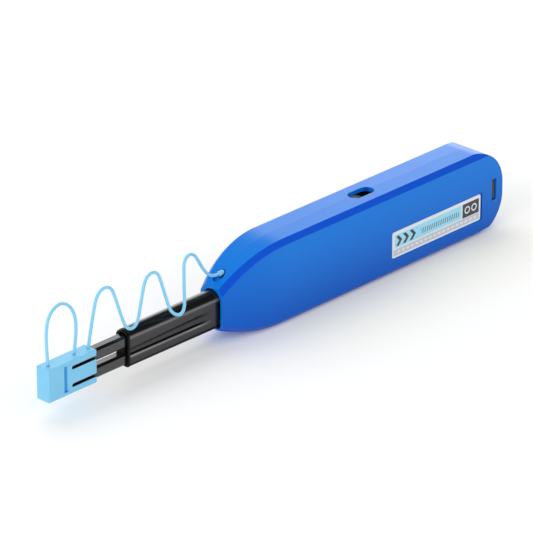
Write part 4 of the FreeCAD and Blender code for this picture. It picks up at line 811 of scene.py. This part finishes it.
def sleeve_points():
    """The sleeve: an outer skin, a rounded lip, and a bore back through it, all one surface.

    Its half width falls evenly from the mouth to the front. The lip is a quarter circle in
    (x, inset). The trough's depth rises by a smooth step over 9 mm ahead of the mouth, and
    its upper edge comes down by 1.2 mm on the way to the front.
    The map holds two shares, sums of bells in height, exp(-(z - z0)^2 / w^2) with w from 0.3 to
    0.62 mm: painted dark, a painted shade and dark reflection on the trough's upper wall and above
    its sill, and painted gleam, a painted highlight under the sill and at the arch's foot. The
    painted dark share is also 1 up to 1.2 mm above the sleeve's foot (0.9 mm at the front), as
    painted shade near the floor, and falls away from there over 0.7 mm.
    """
    lip, valley = sizes().lip, sizes().valley
    front, rear = SLEEVE_HIGH.x, SLEEVE_LOW.x
    wide, slim = SLEEVE_HIGH.y, SLEEVE_HIGH.y - SLEEVE_TAPER
    outer_x = np.concatenate([
        np.linspace(rear, MOUTH - 1 * MM, 4, endpoint=False),
        np.linspace(MOUTH - 1 * MM, front - lip, 60, endpoint=False),
    ])
    turn = np.linspace(0, np.pi / 2, 9)
    x = np.concatenate([outer_x, front - lip + lip * np.sin(turn)])
    inset = np.concatenate([0 * outer_x, 0.75 * lip * (1 - np.cos(turn))])
    share = np.clip((x - MOUTH) / (front - MOUTH), 0, 1)
    half = wide + (slim - wide) * share - inset
    depth = valley * step((x - MOUTH - 2 * MM) / (9 * MM))
    brow = BARS_MIDDLE + (2.2 - 1.2 * share) * MM
    skin = sleeve_rings(
        x, half, SLEEVE_LOW.z + inset, SLEEVE_HIGH.z - inset, 2.05 * MM - inset * 0.5,
        1.2 * MM - inset * 0.7, depth, brow,
    )
    throat = 5 * MM
    inner_x = np.array([
        front - 0.15 * MM, front - 0.5 * MM, front - throat, front - throat - 0.3 * MM,
        rear + 2 * MM, rear,
    ])
    snug = BARS_HIGH.y + 0.1 * MM
    inner_half = np.array([snug + 0.25 * MM, snug + 0.12 * MM, snug + 0.12 * MM, snug, snug, snug])
    inner_top = np.array([18.4, 18.3, 18.3, 17.41, 17.41, 17.41]) * MM
    inner_crown = np.array([1.3, 1.2, 1.2, 0.02, 0.02, 0.02]) * MM
    bore = sleeve_rings(
        inner_x, inner_half, BARS_LOW.z - 0.1 * MM + 0 * inner_x, inner_top, inner_crown,
        0.05 * MM + 0 * inner_x,
    )
    z = skin[..., 2] / MM
    low = (BARS_MIDDLE - SILL_DROP) / MM
    high, trough = brow[:, None] / MM, (depth / valley)[:, None]
    share = share[:, None]
    flank = np.abs(skin[..., 1]) > 0.8 * half[:, None]
    # Painted dark share, for shade and dark reflection: the trough's upper wall, above its sill,
    # and near the sleeve's foot.
    wall = np.exp(-((z - high + 0.8) / (0.62 - 0.2 * share)) ** 2) * trough * (1 - 0.35 * share)
    sill = np.exp(-((z - low - 0.45) / 0.3) ** 2) * trough * 0.9
    foot = 1 - step((z - SLEEVE_LOW.z / MM - 1.2 + 0.3 * share) / 0.7)
    painted_dark = np.clip(np.maximum(wall + sill, foot) * flank, 0, 1)
    # Painted gleam share, a painted highlight: under the trough's sill and at the arch's foot.
    ridge = np.exp(-((z - low + 0.3) / 0.38) ** 2) * trough * (0.6 + 0.4 * np.abs(2 * share - 1))
    shoulder = np.exp(-((z - 16.6) / 0.5) ** 2) * 0.45
    painted_gleam = np.clip((ridge + shoulder) * flank, 0, 1)
    surface = np.stack([painted_dark, painted_gleam], axis=-1)
    surface = np.concatenate([surface, np.zeros(bore.shape[:2] + (2,))], axis=0)
    return np.concatenate([skin, bore], axis=0), surface


def bead_points():
    """The bead round the sleeve's front: a circle carried round the sleeve's own section.

    Each point is P + r (cos a N + sin a X), where N points out of the section at P.
    """
    radius = sizes().bead
    inset = radius - 0.12 * MM
    slim = SLEEVE_HIGH.y - SLEEVE_TAPER - inset
    y, z = sleeve_outline(slim, SLEEVE_LOW.z + inset, SLEEVE_HIGH.z - inset - 0.3 * MM,
                          1.6 * MM, 1.2 * MM - inset, (4, 8, 20, 22))
    y = np.concatenate([y[0], -y[0, -2:0:-1]])
    z = np.concatenate([z[0], z[0, -2:0:-1]])
    line = np.stack([np.full_like(y, SLEEVE_HIGH.x + 0.25 * MM), y, z], axis=-1)
    tangent = unit(np.roll(line, -1, axis=0) - np.roll(line, 1, axis=0))
    out = np.cross(tangent, (1.0, 0.0, 0.0))
    angle = np.linspace(0, 2 * np.pi, 20, endpoint=False)[None, :, None]
    ring = np.cos(angle) * out[:, None] + np.sin(angle) * np.array([1.0, 0.0, 0.0])
    return line[:, None] + ring * radius


def bar_points(stations, half, foot, top, bevel):
    """An eight-sided bar: its section's corners at each of its stations along X."""
    y = np.array([bevel - half, half - bevel, half, half, half - bevel, bevel - half, -half, -half])
    z = np.array([foot, foot, foot + bevel, top - bevel, top, top, top - bevel, foot + bevel])
    x = np.asarray(stations, float)
    return np.stack(np.broadcast_arrays(x[:, None], y[None], z[None]), axis=-1)


def turned_points(profile, axis_z):
    """A surface turned about a line along X: (x, r) become (x, r cos a, axis_z + r sin a)."""
    x, r = np.array(profile).T[:, :, None]
    angle = np.linspace(0, 2 * np.pi, 32, endpoint=False)[None]
    return np.stack(
        np.broadcast_arrays(x, r * np.cos(angle), axis_z + r * np.sin(angle)), axis=-1
    )


def snout_profile(rear, front, radius, bore, deep):
    """A snout's profile: out along its side, round its front edge and back down its bore."""
    round_off = 0.25 * MM
    inset = 0.3 * round_off
    return [
        (rear, radius), (front - round_off, radius), (front - inset, radius - inset),
        (front, radius - round_off), (front, bore), (front - deep, bore),
    ]


class PEN_OT_nozzle(bpy.types.Operator):
    """Makes the sleeve, its bead and the forked bars; finishes the stop, the tips and the cap"""

    bl_idname = "pen.nozzle"
    bl_label = "Nozzle"

    def execute(self, context):
        points, surface = sleeve_points()
        sleeve = grid_piece("sleeve_moulding", points, black_finish("sleeve_black", True),
                            along=True, surface=surface)
        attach(sleeve, "carriage")
        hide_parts("nozzle_sleeve")
        bead = grid_piece("sleeve_bead", bead_points(), bead_finish(), along=True)
        bar = bar_finish()
        fork = MOUTH + sizes().fork
        pieces = [bead]
        rear, front = MOUTH + 20 * MM, CAP_HIGH.x - 5 * MM
        half, bevel, height = BARS_HIGH.y, 0.77 * MM, 4.4 * MM
        for name, foot in (("lower", BARS_LOW.z), ("upper", BARS_HIGH.z - height)):
            points = bar_points([rear, front - 0.2 * MM, front], half, foot, foot + height, bevel)
            pieces.append(grid_piece("bar_" + name, points, bar, smooth=False))
            profile = snout_profile(front - 1 * MM, BARS_HIGH.x, 1.35 * MM, 0.8 * MM, 1.2 * MM)
            points = turned_points(profile, foot + height / 2)
            pieces.append(grid_piece("snout_" + name, points, bar))
        # The web between the bars back to the fork's end, near-black as painted shade.
        points = bar_points([rear + 1 * MM, fork], half - 0.25 * MM,
                            BARS_LOW.z + height / 2, BARS_HIGH.z - height / 2, 0.1 * MM)
        pieces.append(grid_piece("bar_web", points, bead.data.materials[0], smooth=False))
        for piece in pieces:
            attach(piece, "carriage")
            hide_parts("nozzle_sleeve" if piece is bead else "nozzle_bars")
        paint(["rear_stop"], black_finish())
        paint(["cleaning_tip_lower", "cleaning_tip_upper"], tip_finish())
        paint(["guide_cap"], cap_finish())
        return {"FINISHED"}


def coil_points(node, wire, turns):
    """A compression spring in its node's place: a tube carried along a helix.

    The helix is (x0 + p t, r sin 2 pi n t, z0 + r cos 2 pi n t) for t from 0 to 1.
    """
    low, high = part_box(node)
    reach, middle = (high.z - low.z) / 2 - wire, (high.z + low.z) / 2
    t = np.linspace(0, 1, turns * 24 + 1)
    turn = 2 * np.pi * turns * t
    x = low.x + wire + (high.x - low.x - 2 * wire) * t
    line = np.stack([x, reach * np.sin(turn), middle + reach * np.cos(turn)], axis=-1)
    foot, length = (low.x, 0.0, middle), high.x - low.x
    return foot, length, tube_points(line, wire, (1.0, 0.0, 0.0), sides=12)[0]


class PEN_OT_mechanism(bpy.types.Operator):
    """Finishes the carriage, the reels, the tapes and the gears, and makes the springs' coils"""

    bl_idname = "pen.mechanism"
    bl_label = "Mechanism"

    def execute(self, context):
        paint(["carriage_left", "carriage_right", "spring_guide"], charcoal_finish())
        paint(["supply_reel", "take_up_reel"], natural_finish("natural_reel", colours().reel))
        paint(["drive_rack", "drive_pinion", "ratchet_wheel"],
              natural_finish("acetal_gear", colours().gear))
        paint(["supply_tape_left", "supply_tape_right", "feed_tapes"],
              tape_finish("fresh_tape", 0.0))
        paint(["used_tape_left", "used_tape_right", "return_tapes"],
              tape_finish("used_tape", 0.6))
        steel = steel_finish()
        paint(["supply_pin", "take_up_pin", "guide_pin", "carriage_screws", "ratchet_pawl",
               "brake_leaf"], steel)
        for node, wire, turns, body, joint, travel in (
            ("return_spring", 0.35 * MM, 6, "case", "push_slide", 11 * MM),
            ("tip_spring_lower", 0.25 * MM, 3, "carriage", "tip_lower_float", 1.2 * MM),
            ("tip_spring_upper", 0.25 * MM, 3, "carriage", "tip_upper_float", 1.2 * MM),
        ):
            foot, length, points = coil_points(node, wire, turns)
            coil = grid_piece(node + "_coil", points, steel)
            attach(coil, body)
            1 - travel / length
            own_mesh(coil)
            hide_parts(node)
        return {"FINISHED"}


# ---------------------------------------------------------------- stage


def floor_finish():
    """A pale floor that keeps the pen's shadow, with a warm tint painted near the case against the
    blue light it bounces there, and otherwise as white as the backdrop.
    """
    f = Finish("studio_floor")
    fleck = f.noise(3.0, 1.0)
    x, y, z = f.place()
    # A warm tint painted near the case, against the blue light that the case bounces onto the
    # floor.
    bounce_tint = (1 - abs(y).rise(10.0, 70.0)) * x.within(-120.0, 10.0, 25.0)
    colour = f.mix(bounce_tint, f.mix(fleck, (0.99,) * 3, (1.0,) * 3), (1.0, 0.985, 0.88))
    lit = f.add("BsdfDiffuse", inputs={"Color": colour})
    glow = f.add("Emission", inputs={"Color": (1.0, 1.0, 1.0), "Strength": 1.0})
    path = f.add("LightPath").socket.node.outputs
    seen = Signal(path["Is Camera Ray"]).greater(Signal(path["Is Glossy Ray"]))
    seen = seen.greater(Signal(path["Is Transmission Ray"]))
    both = f.add("MixShader", inputs={0: seen * 0.06, 1: lit, 2: glow})
    f.add("OutputMaterial", inputs={"Surface": both})
    return f.owner


def world_light():
    """Even white light. Mirrored, it is a low bright wall behind, a strip in front, and dark.

    The strength is carried by the colour, from 0 up to brightest, and Strength stays 1.
    """
    world = bpy.data.worlds.new("studio")
    bpy.context.scene.world = world
    f = Finish("studio", world)
    path = f.add("LightPath").socket.node.outputs
    spot = f.add("TexCoord", out="Generated")
    split = f.add("SeparateXYZ", inputs={0: spot}).socket.node
    aside, height = Signal(split.outputs[1]), Signal(split.outputs[2])
    behind = 1 - aside.rise(-0.3, 0.2)
    back_wall = (1 - height.rise(0.47, 0.58)) * 1.95 + (1 - height.rise(0.1, 0.35)) * 1.3
    strip = (1 - height.rise(0.05, 0.16)) * 2.6
    mirrored = behind * back_wall + (1 - behind) * strip + 0.02
    camera, glossy = Signal(path["Is Camera Ray"]), Signal(path["Is Glossy Ray"])
    strength = glossy * mirrored + (1 - glossy) * (camera + (1 - camera) * 0.65)
    brightest = 5.0
    colour = f.mix(strength * (1 / brightest), (0.0, 0.0, 0.0), (brightest,) * 3)
    back = f.add("Background", inputs={"Color": colour, "Strength": 1.0})
    f.add("OutputWorld", inputs={"Surface": back})


def lamp(name, place, size, watts, aim=(0.0, 0.0, 0.015), mirrored=False):
    """A soft square lamp that faces a point, and may be seen in glossy surfaces."""
    light = bpy.data.lights.new(name, "AREA")
    light.shape, light.size, light.energy = "SQUARE", size, watts
    item = bpy.data.objects.new(name, light)
    item.location = place
    item.rotation_euler = (Vector(place) - Vector(aim)).to_track_quat("Z", "Y").to_euler()
    item.visible_glossy = mirrored
    item.visible_camera = False
    bpy.context.scene.collection.objects.link(item)


class PEN_OT_stage(bpy.types.Operator):
    """Sets the floor, the lamps, the world and the camera"""

    bl_idname = "pen.stage"
    bl_label = "Stage"

    def execute(self, context):
        reach = sizes().floor_reach
        span = np.linspace(-reach, reach, 9)
        x, y = np.meshgrid(span, span)
        points = np.stack([x, y, np.full_like(x, -0.02 * MM)], axis=-1)
        floor = grid_piece("floor", points, floor_finish(), around=False)
        world_light()
        lamp("back_softbox", (-0.2, -0.55, 0.9), 0.9, 3.2)
        lamp("side_softbox", (-0.1, 1.1, 0.55), 0.8, 1.3)
        lamp("rear_softbox", (-1.0, 0.5, 0.45), 0.7, 0.7)
        lamp("front_softbox", (1.0, 0.2, 0.6), 0.7, 4.2)
        lamp("rear_panel", (-0.82, -0.5, 0.38), 0.34, 0.6, mirrored=True)
        view = bpy.data.cameras.new("view")
        view.sensor_width, view.lens = 36.0, sizes().focal_length
        view.clip_end = 50.0
        camera = bpy.data.objects.new("view", view)
        aim = Vector((0.0032, 0.0, 0.0186))
        back = Vector((0.6606, 0.6234, 0.4184)).normalized()
        camera.location = aim + back * sizes().view_distance
        camera.rotation_euler = back.to_track_quat("Z", "Y").to_euler()
        bpy.context.scene.collection.objects.link(camera)
        bpy.context.scene.camera = camera
        bpy.context.scene.view_settings.view_transform = "Standard"
        return {"FINISHED"}


# ---------------------------------------------------------------- add-on

OPERATORS = (PEN_OT_cords, PEN_OT_case, PEN_OT_nozzle, PEN_OT_mechanism, PEN_OT_stage)


class PEN_PT_panel(bpy.types.Panel):
    """The pen's pieces, sizes and colours in the sidebar"""

    bl_idname = "PEN_PT_panel"
    bl_label = "Cleaning Pen"
    bl_space_type = "VIEW_3D"
    bl_region_type = "UI"
    bl_category = "Pen"

    def draw(self, context):
        for group in (context.scene.pen_sizes, context.scene.pen_colours):
            box = self.layout.box()
            for name in group.__annotations__:
                box.prop(group, name)
        for operator in OPERATORS:
            self.layout.operator(operator.bl_idname)


CLASSES = (PenColours, PenSizes, *OPERATORS, PEN_PT_panel)


def register():
    for item in CLASSES:
        bpy.utils.register_class(item)
    bpy.types.Scene.pen_colours = bpy.props.PointerProperty(type=PenColours)
    bpy.types.Scene.pen_sizes = bpy.props.PointerProperty(type=PenSizes)


def unregister():
    del bpy.types.Scene.pen_colours
    del bpy.types.Scene.pen_sizes
    for item in reversed(CLASSES):
        bpy.utils.unregister_class(item)


def main():
    register()
    for operator in OPERATORS:
        group, name = operator.bl_idname.split(".")
        getattr(getattr(bpy.ops, group), name)()


if __name__ == "__main__":
    main()
